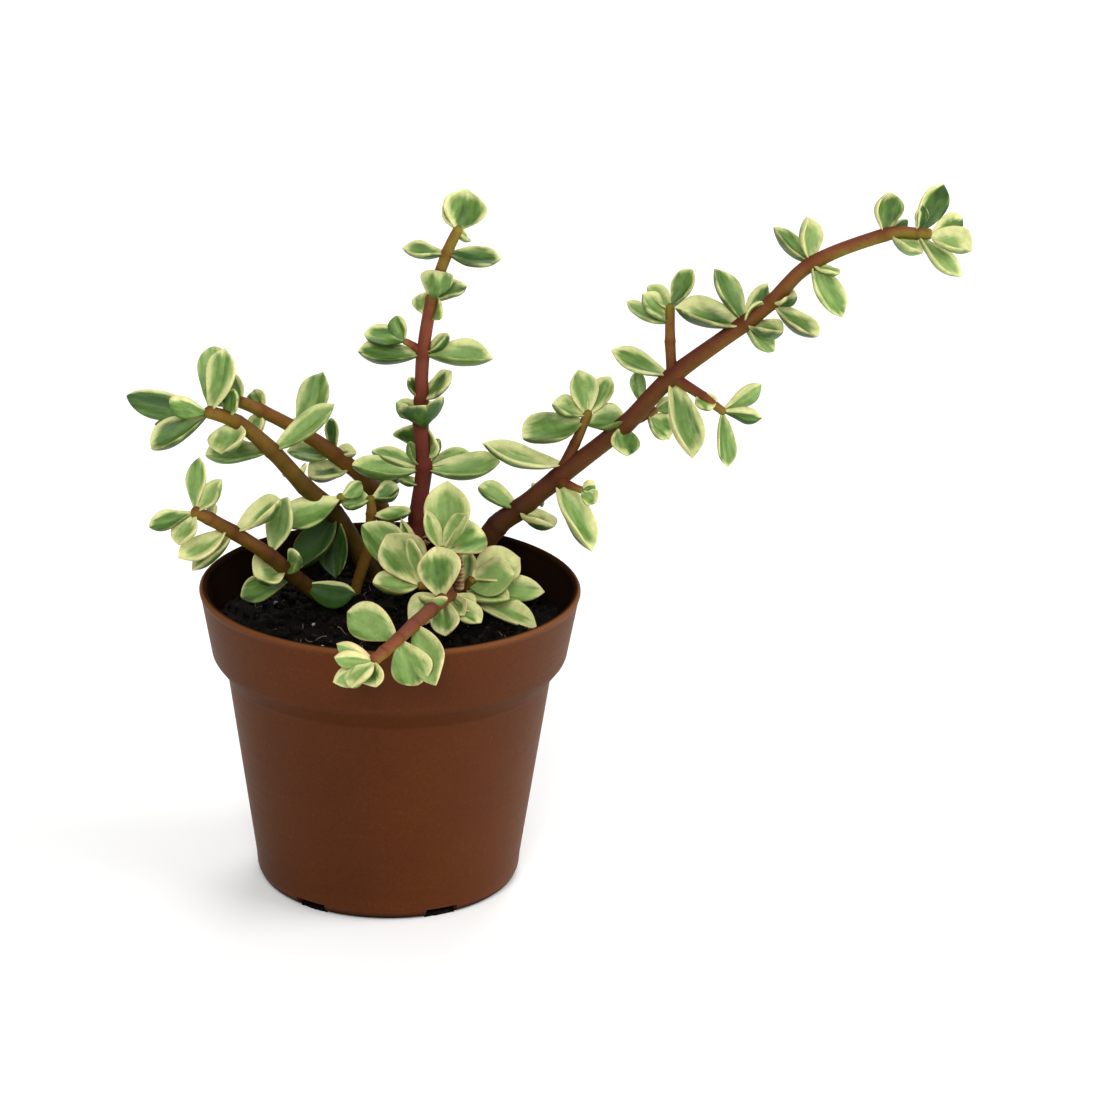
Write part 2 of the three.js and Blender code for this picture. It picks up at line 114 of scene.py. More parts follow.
def node(tree, kind, inputs=None, **settings):
    made = tree.nodes.new(kind)
    for key, value in settings.items():
        setattr(made, key, value)
    for key, value in (inputs or {}).items():
        if isinstance(value, bpy.types.NodeSocket):
            tree.links.new(value, made.inputs[key])
        else:
            made.inputs[key].default_value = value
    return made


def ramp(tree, source, stops):
    made = node(tree, "ShaderNodeValToRGB", {"Fac": source})
    points = made.color_ramp.elements
    while len(points) < len(stops):
        points.new(0.5)
    for point, (place, colour) in zip(points, stops):
        point.position = place
        point.color = (*colour, 1)
    return made.outputs["Color"]


def mathOf(tree, operation, first, second=0.0, third=0.0, clamp=False):
    made = node(tree, "ShaderNodeMath", {0: first, 1: second, 2: third}, operation=operation)
    made.use_clamp = clamp
    return made.outputs[0]


def mix(tree, share, first, second, blend="MIX"):
    made = node(tree, "ShaderNodeMix", data_type="RGBA", blend_type=blend)
    for key, value in ((0, share), (6, first), (7, second)):
        if isinstance(value, bpy.types.NodeSocket):
            tree.links.new(value, made.inputs[key])
        elif key:
            made.inputs[key].default_value = (*value, 1)
        else:
            made.inputs[key].default_value = value
    return made.outputs[2]


def smoothStep(tree, value, low, high):
    made = node(tree, "ShaderNodeMapRange", {"Value": value}, interpolation_type="SMOOTHSTEP")
    for key, edge in (("From Min", low), ("From Max", high)):
        if isinstance(edge, bpy.types.NodeSocket):
            tree.links.new(edge, made.inputs[key])
        else:
            made.inputs[key].default_value = edge
    return made.outputs["Result"]


def newGroup(name, inputs, outputs):
    group = bpy.data.node_groups.new(name, "ShaderNodeTree")
    for label, kind, value in inputs:
        socket = group.interface.new_socket(name=label, in_out="INPUT", socket_type=kind)
        if value is not None:
            socket.default_value = value
    for label, kind in outputs:
        group.interface.new_socket(name=label, in_out="OUTPUT", socket_type=kind)
    return group, group.nodes.new("NodeGroupInput"), group.nodes.new("NodeGroupOutput")


def useGroup(tree, group, inputs):
    made = node(tree, "ShaderNodeGroup", node_tree=group)
    for key, value in inputs.items():
        if isinstance(value, bpy.types.NodeSocket):
            tree.links.new(value, made.inputs[key])
        else:
            made.inputs[key].default_value = value
    return made


# Shared effects, each a group that several materials use
def makeGrainGroup():
    # fine uneven relief: a broad and a fine noise, as a mask and as a height
    number, vector = "NodeSocketFloat", "NodeSocketVector"
    group, start, end = newGroup(
        "grain",
        [("Place", vector, None), ("Broad Scale", number, 200.0), ("Fine Scale", number, 1500.0),
         ("Fine Share", number, 0.4)],
        [("Mask", number), ("Height", number)],
    )
    broad = node(group, "ShaderNodeTexNoise", {"Vector": start.outputs["Place"],
                                               "Scale": start.outputs["Broad Scale"], "Detail": 3.0})
    fine = node(group, "ShaderNodeTexNoise", {"Vector": start.outputs["Place"],
                                              "Scale": start.outputs["Fine Scale"], "Detail": 2.0})
    blend = node(group, "ShaderNodeMix", {0: start.outputs["Fine Share"], 2: broad.outputs["Fac"],
                                          3: fine.outputs["Fac"]})
    group.links.new(broad.outputs["Fac"], end.inputs["Mask"])
    group.links.new(blend.outputs[0], end.inputs["Height"])
    return group


def makeDustGroup():
    # specks of dry soil and water marks, more of them where Amount is high
    number, vector = "NodeSocketFloat", "NodeSocketVector"
    group, start, end = newGroup(
        "dust",
        [("Place", vector, None), ("Scale", number, 400.0), ("Amount", number, 0.3)],
        [("Mask", number)],
    )
    specks = node(group, "ShaderNodeTexVoronoi", {"Vector": start.outputs["Place"],
                                                  "Scale": start.outputs["Scale"]})
    cloud = node(group, "ShaderNodeTexNoise", {"Vector": start.outputs["Place"], "Scale": 60.0,
                                               "Detail": 4.0})
    size = mathOf(group, "MULTIPLY", cloud.outputs["Fac"], start.outputs["Amount"])
    near = mathOf(group, "SUBTRACT", size, specks.outputs["Distance"])
    mask = smoothStep(group, near, 0.0, 0.08)
    group.links.new(mask, end.inputs["Mask"])
    return group


grainGroup = makeGrainGroup()
dustGroup = makeDustGroup()
print("shared effects made")


def addGrain(tree, solid, broadScale, fineScale, fineShare=0.5):
    scales = {"Broad Scale": broadScale, "Fine Scale": fineScale, "Fine Share": fineShare}
    return useGroup(tree, grainGroup, {"Place": solid, **scales}).outputs


def addDust(tree, solid, colour, scale, amount, strength, dustColour):
    dust = useGroup(tree, dustGroup, {"Place": solid, "Scale": scale, "Amount": amount})
    return mix(tree, mathOf(tree, "MULTIPLY", dust.outputs["Mask"], strength), colour, dustColour)


def addRelief(tree, shader, height, strength, depth):
    # the depth is in millimetres
    relief = node(tree, "ShaderNodeBump", {"Strength": strength, "Distance": depth * mm, "Height": height})
    tree.links.new(relief.outputs["Normal"], shader.inputs["Normal"])


def addRoughness(tree, shader, source, ends):
    smooth, rough = ends
    roughness = mathOf(tree, "MULTIPLY_ADD", source, rough - smooth, smooth)
    tree.links.new(roughness, shader.inputs["Roughness"])


# The plant: for each shoot its path as [right, up, away], its thickness at foot and tip, and its leaves as
# [place along the path, tip right, tip up, tip away from the stem, width, share turned to light]
plant = {
  "upright_stem": {
    "root": [6, 24],
    "shoots": [
      {
        "path": [
          [6, 4.5, 23.4], [6, 14.5, 18.7], [7.5, 25.7, 14.2], [6.8, 36, 9.4], [6.9, 41, 7.6],
          [7.3, 51.3, 3.9], [9.3, 63.4, -1.5], [12.6, 73.7, -6.2], [15.5, 79.7, -8.9],
        ],
        "thick": [4.2, 2.2],
        "leaves": [
          [8, 17.2, 88, -2, 10, 0.6], [8, 12.6, 85.3, 3, 5.5, 0.5], [7.9, 17.8, 76.5, 3, 4, 0.5],
          [7, 2.6, 75.5, 1, 5, 0.5], [7, 24.7, 71.9, -1, 7, 0.5],
          [6, 11.2, 70, -5, 7.5, 0], [6, 17, 67, 1, 5, 0.5], [6.2, 8.7, 59.8, 4, 8.5, 1],
          [5, -7.3, 51.3, -2, 7.5, 0.5], [5, 22.9, 50.9, -1, 8, 0.5], [5, 13.3, 55.4, -2, 4, 0.5],
          [4, 3.7, 45.8, -2, 3.5, 0.5], [4, 13.8, 47.4, -2, 6.5, 0.5],
          [3, 8.4, 39, -9, 11, 0], [3, 6.8, 29.8, 6, 12, 1], [3.1, 1.4, 40.6, -3, 5.5, 0.3],
          [2, -8.6, 26.3, -2, 7, 0.5], [2, 24.7, 26.1, -2, 8, 0.5], [2, -4.1, 30.4, 3, 5.5, 0.5],
          [2, 3.5, 31.5, -3, 3.5, 0.5], [2, 11.2, 32.3, -2, 3.5, 0.5], [2, 17.7, 29, 5, 5, 0.5],
          [1.7, 1.9, 23.6, -2, 3.5, 0.5], [4, 8.5, 38, 11, 7, 0.2],
        ],
      },
      {
        "path": [[7.3, 51.3, 3.9], [5.2, 53, 3], [3, 54.2, 2.5]],
        "thick": [1.8, 1.5],
        "leaves": [[2, -5.9, 55.8, 0, 6, 0.5], [2, 1.2, 59.8, 0, 5, 0.5]],
      },
    ],
  },
  "right_stem": {
    "root": [16, 21],
    "shoots": [
      {
        "path": [
          [17.7, 4.5, 18.6], [23.8, 12.9, 15.6], [28.9, 16.7, 13.7], [37.1, 23.4, 10.7],
          [52, 35.2, 5.4], [62.8, 46.2, 0.5], [79, 58, -5.9], [85.1, 62.9, -8.7],
          [94, 71.4, -12.8], [110.3, 77.8, -16.2], [117.6, 78.1, -16.8], [120.8, 77.9, -17.3],
        ],
        "thick": [5.2, 2.3],
        "leaves": [
          [2, 20, 22, -3, 7, 0.5], [2, 36.6, 12.5, -6, 7.5, 0.5],
          [3, 44.6, 6.8, -4, 8.5, 0.5],
          [4.4, 54.4, 47, 1, 4, 0.5], [4, 52.9, 28.3, -4, 7, 0.5],
          [5, 49.2, 52.2, -1, 7, 0.5], [5, 66.9, 27.7, -3, 9, 0.5],
          [6, 63.2, 60.6, -1, 9.5, 0.6], [6, 72.2, 70.3, 1, 6.5, 0.5], [6, 83.1, 62.9, -4, 4.5, 0.5],
          [6, 87.6, 55.6, -4, 6.5, 0.5], [6, 85.8, 52, 3, 7, 0.5], [6, 83.8, 66.7, 5, 4.5, 0.5],
          [7, 90.7, 64.3, -2, 7, 0.5], [7, 94.9, 54.5, -1, 7, 0.5],
          [8, 92.5, 81.7, 0, 7, 0.5], [8, 85.4, 79.5, 3, 5, 0.5], [8, 101, 59.4, -1, 8, 0.5],
          [8, 100.3, 68.7, -4, 4, 0.5],
          [9, 110.8, 87.3, 0, 8, 0.5], [9.1, 118.8, 73.8, -2, 5, 0.5], [9, 115.4, 81, 4, 3.5, 0.5],
          [10, 122.8, 89.3, 0, 7, 0.5], [10, 118.6, 84.6, -2, 3.5, 0.5], [10, 127.7, 68.7, 0, 6.5, 0.5],
          [11, 127.6, 81.8, 1, 5.5, 0.6], [11, 129.8, 74.8, -3, 9, 0.8],
          [2.6, 33, 21, 10, 7, 0.1], [4, 50, 34, 11, 7, 0.1], [6, 80, 60, 10, 6.5, 0.1],
          [8, 96, 72, 9, 6, 0.1],
        ],
      },
      {
        "path": [[37.1, 23.4, 10.7], [40, 22, 7], [43, 20.7, 5]],
        "thick": [2, 1.6],
        "leaves": [[2, 46, 18.2, -1, 4.5, 0.5], [2, 45.6, 22.6, 0, 4.5, 0.5]],
      },
      {
        "path": [[37.1, 23.4, 10.7], [41.2, 31.3, 8.5], [44.4, 38.7, 6]],
        "thick": [2.6, 2],
        "leaves": [
          [0.4, 20.4, 31, -1, 8.5, 0.5],
          [1.7, 29.6, 31.6, -4, 11, 0.7], [1.6, 52.6, 36.4, -3, 7.5, 0.9],
          [2, 41.8, 47.8, 0, 7, 0.7], [2, 49, 46.4, 2, 5.5, 0.5], [2, 36.3, 40.5, -2, 6.5, 0.6],
        ],
      },
      {
        "path": [[52, 35.2, 5.4], [56, 37, 8], [59.5, 39, 9]],
        "thick": [2.2, 1.7],
        "leaves": [[2, 63.5, 41.3, 2, 5, 0.5], [1.4, 62.4, 32.2, 1, 7.5, 0.7]],
      },
      {
        "path": [[62.8, 46.2, 0.5], [62.4, 54, -1.5], [62.4, 62.5, -4]],
        "thick": [2.6, 2],
        "leaves": [
          [1.5, 56.3, 64.7, -2, 6, 0.5], [1.5, 52.5, 62.5, 3, 4.5, 0.5],
          [2, 67.5, 70, -1, 6, 0.5], [2, 57.5, 66.8, 3, 5, 0.5],
        ],
      },
      {
        "path": [[62.8, 46.2, 0.5], [69.8, 41.7, -3], [74.7, 38, -4.5]],
        "thick": [2.6, 1.8],
        "leaves": [
          [0.8, 71.4, 38.6, -3, 5.5, 0.9], [2, 82.9, 44.4, 0, 6, 0.5],
          [2, 82.9, 36.8, -2, 5, 0.5], [2, 75.6, 26.1, 0, 5, 0.5],
        ],
      },
    ],
  },
  "left_stem": {
    "root": [-4, 28],
    "shoots": [
      {
        "path": [
          [-5.7, 4.9, 26.9], [-12.4, 15.6, 16.7], [-19.1, 21.7, 9.2], [-26.4, 29.7, 1.1],
          [-34, 35.9, -4.4], [-41.4, 38.6, -8.5],
        ],
        "thick": [4.5, 2.9],
        "leaves": [
          [5, -58.8, 41.7, 2, 8, 0.5], [5, -49.2, 41.3, -4, 6, 0.5], [5, -52.8, 35.7, 6, 6, 0.5],
          [5, -53.5, 30.4, -1, 8, 0.5],
          [5, -36.7, 52.5, -2, 8, 0.5], [5, -39.4, 53.1, 4, 8, 0.5], [4.3, -35.1, 43.5, -2, 5, 0.5],
          [4, -37.6, 28.8, -4, 10, 0.6],
          [3, -12.4, 40.2, -2, 7, 0.5], [3, -41.2, 28, -2, 8, 0.5],
          [1, -19.4, 2.8, -5, 9, 0.6], [1, -12.2, 1.2, 3, 8, 0.5],
          [2.3, -21, 25, 6, 6, 0.2],
        ],
      },
      {
        "path": [[-13.5, 16.7, 15.6], [-11.8, 18.6, 12.5], [-10.8, 19.6, 10.5]],
        "thick": [2.2, 1.8],
        "leaves": [[2, -24.2, 13.4, -4, 9, 0.9], [2, -6.5, 22.5, 2, 5, 0.5]],
      },
    ],
  },
  "rear_left_stem": {
    "root": [0, 31.5],
    "shoots": [
      {
        "path": [
          [0.3, 8.9, 30.8], [-4.1, 21.2, 24.3], [-12.4, 28.8, 17.3], [-20.2, 34.1, 11.2],
          [-28.7, 38.6, 5.3], [-34, 40.8, 2.4],
        ],
        "thick": [4, 2.7],
        "leaves": [
          [5, -35.4, 46.9, 1, 5, 0.5], [5, -42, 44, 4, 6, 0.5], [4, -30, 43.5, 1, 5, 0.5],
          [4, -30.2, 33.5, 2, 5, 0.5], [3, -15.5, 47.5, 0, 8.5, 0.5], [3, -22, 36, 12, 8, 0.5],
          [2, -13.3, 37, -2, 3.5, 0.5], [2, -23.1, 29.7, -1, 6, 0.5], [2, -7.7, 29.3, 3, 4.5, 0.5],
          [1.6, -18.4, 23.8, -5, 8, 0.6], [1, 3, 26, 8, 7, 0.5],
        ],
      },
    ],
  },
  "low_left_stem": {
    "root": [-13.4, 12.3],
    "shoots": [
      {
        "path": [
          [-15.3, -2.9, 11.6], [-20.9, 1.1, 6], [-26.9, 6.3, -0.2], [-35.1, 11.6, -6.3],
          [-40.3, 14.5, -9.4], [-44.1, 16.3, -12.2],
        ],
        "thick": [3.8, 2.7],
        "leaves": [
          [5, -42.7, 28.3, 0, 5, 0.5], [5, -54, 13, 0, 5, 0.5], [5, -37.5, 23.2, -2, 5.5, 0.5],
          [5, -47, 8.5, -2, 7, 0.5], [3.2, -47, 4.9, -4, 7, 0.5], [3, -44.3, 2.9, 2, 6, 0.5],
          [3, -24, 18.3, -3, 7, 0.5], [2, -23.1, 19.4, 1, 8, 0.5], [1.4, -30.3, 1.4, -5, 9.5, 0.9],
          [1.4, -20.3, 6.2, -4, 6.5, 0.9],
          [1.1, -33.4, -3, -2, 7, 0.5], [0.7, -7.4, -2.6, -4, 7.5, 0.5],
          [4, -40, 17, 9, 6, 0.2],
        ],
      },
    ],
  },
  "back_shoot": {
    "root": [-8, 20],
    "shoots": [
      {
        "path": [[-5, 8, 18], [-4.3, 15.5, 14.5], [-4.4, 19.6, 13]],
        "thick": [2.6, 2],
        "leaves": [[2, -11, 18.4, 0, 8, 0.5], [2, 2.1, 21, 1, 6, 0.5], [1, 4.6, 15.8, -2, 5, 0.5]],
      },
    ],
  },
  "front_stem": {
    "root": [14, 9],
    "shoots": [
      {
        "path": [
          [13.3, -2.5, 0.9], [8.8, -6, -23.4], [5, -9.3, -39.2], [1.9, -12.2, -44.5],
          [-1.5, -15.3, -47.6], [-4.1, -17.5, -50],
        ],
        "thick": [3.2, 2.4],
        "leaves": [
          [0.45, 10.1, 8.3, -2, 10, 1], [0.7, 9.4, -3.4, -6, 6.5, 1],
          [0.35, 3.7, -8.2, 1, 8.5, 1], [0.4, 12.3, -12, -6, 6.5, 1],
          [3.1, -10.3, -6, 7, 8.5, 0.6], [3, 6.2, -22.6, 0, 9, 0.8], [1.9, 9.8, -22, -10, 7.5, 0.7],
          [5, -12.2, -13.4, 1, 5, 0.5], [5, -12.4, -16.5, -3, 5, 0.5], [5, -12.8, -22, 1, 6, 0.5],
          [5, -9, -22.8, -5, 6, 0.5], [5, -3.5, -23, -2, 6, 0.5],
        ],
      },
      {
        "path": [[13.3, -2.5, 0.9], [11.3, 2.2, -2], [11.5, 8.3, -5.1]],
        "thick": [3, 2.2],
        "leaves": [
          [2, 12.6, 23, -1, 10.5, 1], [2, 7.7, 16.5, -3, 4, 0.5], [2, 17, 15.6, -3, 5, 0.5],
          [2, 20.7, 12.2, 4, 10, 0.9], [0, 19, -5.6, 1, 5, 0.5], [0, 16.6, -7.1, -4, 4.5, 0.5],
          [0, 20.2, -9, -2, 6, 0.5],
        ],
      },
      {
        "path": [[12, 0, -0.6], [8.8, -0.4, -1.5], [6.1, -0.4, -2]],
        "thick": [2.4, 1.9],
        "leaves": [
          [2, -6.3, 12.6, 4, 9.5, 1], [2, -0.9, 11.1, -2, 11, 1], [2, -3.9, 0.4, -5, 7, 0.8],
          [2, 3.9, 10, -5, 4, 0.5], [2, 2.6, 14.7, 4, 4.5, 0.5],
        ],
      },
    ],
  },
  "right_shoot": {
    "root": [18.8, 10],
    "shoots": [
      {
        "path": [[16.6, -3.3, 9.7], [16.8, -0.9, 7.7], [18.4, 1.2, 5.8]],
        "thick": [2.6, 2],
        "leaves": [
          [2, 29, 6, 4, 10, 1], [1.3, 27.6, 2.4, -4, 10.5, 1], [1, 17.3, 7.6, 0, 4, 0.5],
          [1, 26.5, -3.2, -7, 7, 0.5], [1.5, 34.5, -1.8, 1, 7, 0.5], [0.5, 32.6, -8.8, -10, 7, 0.5],
        ],
      },
    ],
  },
}


# How stems and leaves are shaped. Lengths are millimetres, the rest are shares.
growth = {
    "soilTop": 59.3,
    "holeDepth": 13,
    "swelling": 0.06,
    "reach": 0.18,
    "stemSides": 20,
    "stemStations": 14,
    "buriedStations": 5,
    "tipLength": 0.1,
    "tipBluntness": 0.03,
    "scarHeight": 0.06,
    "scarReach": 0.035,
    "ringedPart": 1.4,
    "ringsPerStep": 5,
    "ringHeight": 0.035,
    "firstJoint": 0.5,
    "jointReach": 0.1,
    "sunSide": 0.35,
    "shadedAge": 0.1,
    "wrinkle": 0.07,
    "wrinkleScale": (2, 1.2),
    "fineScale": 2.2,
    "broadScale": 0.7,
    "broadShare": 1.4,
}
leafShape = {
    "thickness": 2.0,
    "thinness": 0.35,
    "swell": (1.62, 1.22),
    "bluntness": 0.6,
    "point": 0.5,
    "cup": 0.15,
    "boatCup": 0.04,
    "boatBelow": 0.55,
    "boatFold": (0.12, 0.26),
    "boatRidge": (0.0, 0.4),
    "boatStrip": 0.5,
    "boatMiddle": 0.6,
    "boatDeck": 0.72,
    "boatWidth": 0.95,
    "boatCream": 0.7,
    "boatGreen": 0.3,
    "boatSteepness": 0.55,
    "boatBand": 2.2,
    "boatPaintedLight": (0.75, 0.2),
    "rimTilt": 1.7,
    "faceTilt": 0.8,
    "sag": 0.07,
    "tipDrop": 0.16,
    "sides": 28,
    "stations": 24,
    "fold": (0.02, 0.32),
    "foldSoftness": 0.05,
    "twist": 0.6,
    "twistFrom": 0.35,
    "curl": 0.09,
    "sway": 0.05,
    "groove": 0.2,
    "grooveWidth": 0.2,
    "grooveEnd": 1.15,
    "rib": 0.06,
    "ribs": 9,
    "wave": 0.35,
    "waves": 8,
    "bulge": 0.2,
    "bulgeScale": (1.7, 3.4),
    "edgeLength": 1.6,
    "light": (-0.1, -0.6, 0.8),
}


sightRight, sightUp, sightAhead = sightLines()
eyePlace = Vector(eye["place"])
rimCentre = Vector((0, 0, eye["rimHeight"]))
eyeDistance = (rimCentre - eyePlace).dot(sightAhead)


def seen(right, up, away):
    # the place seen at right and up of the rim's middle, that much further from the eye
    spot = rimCentre + sightRight * right + sightUp * up
    return eyePlace + (spot - eyePlace) * (1 + away / eyeDistance)


class Line:
    # a shoot's smooth path through its points, in millimetres
    def __init__(self, shoot, root):
        points = [seen(*point) for point in shoot["path"]]
        self.first = 0
        if root:
            top = growth["soilTop"]
            for height in (top + 1, top - 3, top - growth["holeDepth"] + 1):
                points.insert(0, Vector((*root, height)))
            self.first = 3
        self.points = [points[0] * 2 - points[1], *points, points[-1] * 2 - points[-2]]
        self.last = len(shoot["path"]) - 1
        chord = (points[-1] - points[self.first]).normalized()
        self.across = Vector((0, 1, 0)) if abs(chord.y) < 0.7 else Vector((1, 0, 0))
        self.thick = shoot["thick"]

    def at(self, place):
        spot = min(max(place + self.first, 0), len(self.points) - 3)
        step = min(int(spot), len(self.points) - 4)
        t = spot - step
        a, b, c, d = self.points[step:step + 4]
        return (b * 2 + (c - a) * t + (a * 2 - b * 5 + c * 4 - d) * t * t
                + (b * 3 - a - c * 3 + d) * t * t * t) * 0.5

    def along(self, place):
        return (self.at(place + 0.001) - self.at(place - 0.001)).normalized()

    def radius(self, place):
        share = min(max(place / self.last, 0), 1)
        radius = (self.thick[0] + (self.thick[1] - self.thick[0]) * share) / 2
        if place < growth["firstJoint"]:
            return radius
        offset = (place - round(place)) / growth["reach"]
        return radius * (1 + growth["swelling"] * math.exp(-offset * offset))


def stemMesh(line, seed, age, redness, olive):
    # rings along the path, with a raised scar at each joint and fine lengthwise wrinkles
    first, last, sides = -line.first, line.last, growth["stemSides"]
    places = []
    for index in range(first, last):
        stations = growth["buriedStations"] if index < -1 else growth["stemStations"]
        places += [index + k / stations for k in range(stations)]
    places += [last, last + 0.02]
    tip, blunt = growth["tipLength"], growth["tipBluntness"]
    aroundScale, alongScale = growth["wrinkleScale"]
    verts, marks = [], []
    length = last - first
    for place in places:
        tangent = line.along(min(place, last))
        side = tangent.cross(line.across).normalized()
        front = side.cross(tangent)
        centre = line.at(min(place, last))
        base = line.radius(place)
        if place > last - tip:
            base *= math.sqrt(max(0.02, (last + blunt - place) / (tip + blunt)))
        offset = place - round(place)
        isJoint = place > growth["firstJoint"] and round(place) < last
        scar = growth["scarHeight"] * math.exp(-((offset / growth["scarReach"]) ** 2)) if isJoint else 0
        if line.first and place < growth["ringedPart"]:
            scar += growth["ringHeight"] * math.cos(place * 2 * math.pi * growth["ringsPerStep"])
        for k in range(sides):
            angle = 2 * math.pi * k / sides
            around = Vector((math.cos(angle) * aroundScale, math.sin(angle) * aroundScale,
                             place * alongScale + seed))
            fine = noise.noise(around * growth["fineScale"]) * growth["wrinkle"]
            broad = noise.noise(around * growth["broadScale"]) * growth["wrinkle"] * growth["broadShare"]
            radius = base + scar + (fine + broad) * min(1, base)
            out = side * math.cos(angle) + front * math.sin(angle)
            verts.append((centre + out * radius) * mm)
            share = (place - first) / length
            joint = math.exp(-((offset / growth["jointReach"]) ** 2)) if isJoint else 0
            # the side that the sun reaches is redder, the other paler and more olive
            sun = growth["sunSide"] * out.z
            years = age[0] + (age[1] - age[0]) * share - growth["shadedAge"] * out.z
            marks.append((years, redness + sun, joint, olive - sun))
    faces = []
    rings = len(places)
    for ring in range(rings - 1):
        for k in range(sides):
            a, b = ring * sides + k, ring * sides + (k + 1) % sides
            faces.append((a, b, b + sides, a + sides))
    faces.append(tuple(reversed(range(sides))))
    faces.append(tuple(range((rings - 1) * sides, rings * sides)))
    return verts, faces, marks


def leafMesh(leaf, line, draw):
    # a fleshy spoon shaped leaf, folded and twisted a little in its own way
    place, right, up, away, width, toLight = leaf
    shape = leafShape
    foot = line.at(min(place, line.last - shape["tipDrop"]))
    footAway = (foot - eyePlace).dot(sightAhead) - eyeDistance
    tip = seen(right, up, footAway + away)
    axis = tip - foot
    length = axis.length
    axis.normalize()
    tangent = line.along(place)
    light = Vector(shape["light"]).normalized()
    inward = (tangent - axis * tangent.dot(axis)).normalized()
    lit = (light - axis * light.dot(axis)).normalized()
    face = inward.lerp(lit, toLight).normalized()
    across = axis.cross(face)
    thickness = min(shape["thickness"], width * shape["thinness"])
    # a leaf that is seen from its side is a boat: a keel, and a strip of its top above the keel
    isBoat = toLight < shape["boatBelow"] and abs(across.z) > shape["boatSteepness"]
    cup = shape["boatCup"] if isBoat else shape["cup"]
    fold = draw.uniform(*shape["boatFold" if isBoat else "fold"]) * width
    ridge = draw.uniform(*shape["boatRidge"])
    upward = 1 if across.z > 0 else -1
    # pointed leaves are widest near the foot, blunt ones near the tip
    point = draw.random()
    bluntSwell, pointedSwell = shape["swell"]
    swell = bluntSwell + (pointedSwell - bluntSwell) * point
    twist = draw.uniform(-1, 1) * shape["twist"]
    curl = draw.uniform(-1, 1) * shape["curl"] * length
    sway = draw.uniform(-1, 1) * shape["sway"] * length
    phase = draw.uniform(0, 6)
    wave = shape["wave"] * draw.uniform(0.2, 1.0)
    verts, edges = [], []
    stations, sides = shape["stations"], shape["sides"]
    bulgeAcross, bulgeAlong = shape["bulgeScale"]
    byStrip, byFace = shape["boatPaintedLight"]
    for i in range(stations + 1):
        share = (1 - math.cos(math.pi * i / stations)) / 2
        isEnd = i in (0, stations)
        # the point only narrows the last part, hence the high power
        bluntness = shape["bluntness"] + shape["point"] * point * share ** 6
        half = 0 if isEnd else math.sin(math.pi * share ** swell) ** bluntness
        turn = twist * (share - shape["twistFrom"])
        middle = math.sin(math.pi * min(1, share * shape["grooveEnd"]))
        for k in range(1 if isEnd else sides):
            angle = 2 * math.pi * k / sides
            cosine, sine = (0, 0) if isEnd else (math.cos(angle), math.sin(angle))
            lift = math.copysign(abs(sine) ** 0.8, sine) * half ** 0.7 * thickness / 2
            lift += cup * width * half * cosine * cosine
            strip = cosine * upward - ridge
            if isBoat:
                slope = shape["boatStrip"] if strip > 0 else 1
                ridgeShape = math.hypot(strip * slope, shape["foldSoftness"])
                lift -= fold * half * (ridgeShape - shape["boatMiddle"])
            else:
                lift += fold * half * (math.hypot(cosine, shape["foldSoftness"]) - 0.5)
            lift -= shape["groove"] * thickness * middle * math.exp(-((cosine / shape["grooveWidth"]) ** 2))
            lift += shape["rib"] * thickness * half * math.sin(cosine * shape["ribs"] + phase)
            lift += wave * half * math.sin(share * shape["waves"] + phase) * cosine
            spot = Vector((cosine * bulgeAcross, share * bulgeAlong, phase * 9 + sine))
            lift += shape["bulge"] * half * noise.noise(spot)
            side = half * cosine * width / 2
            if isBoat:
                # the top of a boat is flatter than its belly
                side *= shape["boatWidth"] * (shape["boatDeck"] if cosine * upward > 0 else 1)
            side, lift = (side * math.cos(turn) - lift * math.sin(turn),
                          side * math.sin(turn) + lift * math.cos(turn))
            lift += curl * share ** 3 - shape["sag"] * length * (1 - (2 * share - 1) ** 2)
            side += sway * math.sin(math.pi * share)
            verts.append((foot + axis * (share * length) + across * side + face * lift) * mm)
            edge = min((1 - abs(cosine)) * half, (1 - share) * length * shape["edgeLength"] / width)
            # painted light: how far each point faces the sky, which the leaf material uses to paint upward
            # parts paler and more cream and downward parts greener
            paintedSkyLight = across.z * cosine * shape["rimTilt"] + face.z * sine * shape["faceTilt"]
            paintedSkyLight = min(max(paintedSkyLight, -1), 1)
            # painted light: a boat's top strip is painted more cream and its keel greener, as light from
            # above falls on them
            if isBoat:
                band = strip * shape["boatBand"]
                paintedSkyLight = min(max(band, -1), 1) * byStrip + byFace * sine
                onTop = min(max(band + 0.5, 0), 1)
                edge *= 1 - shape["boatCream"] * onTop
                edge += shape["boatGreen"] * (1 - onTop) * half
            edges.append((edge, share, cosine * half, 0.5 + 0.5 * paintedSkyLight))
    faces = [(0, 1 + (k + 1) % sides, 1 + k) for k in range(sides)]
    for i in range(stations - 2):
        for k in range(sides):
            a, b = 1 + i * sides + k, 1 + i * sides + (k + 1) % sides
            faces.append((a, b, b + sides, a + sides))
    last = 1 + (stations - 1) * sides
    faces += [(last - sides + k, last - sides + (k + 1) % sides, last) for k in range(sides)]
    return verts, faces, edges


def joinParts(parts):
    # one list of corners and faces out of many
    verts, faces = [], []
    for partVerts, partFaces in parts:
        offset = len(verts)
        verts += partVerts
        faces += [tuple(index + offset for index in face) for face in partFaces]
    return verts, faces


def turnOutward(piece):
    shell = bmesh.new()
    shell.from_mesh(piece.data)
    bmesh.ops.recalc_face_normals(shell, faces=shell.faces)
    shell.to_mesh(piece.data)
    shell.free()


# How far up a stem its leaves are shaded, and how much single leaves differ
leafTones = {
    "shadedPart": 1.7,
    "pale": 0.4,
    "rest": (0.2, 1.8),
}
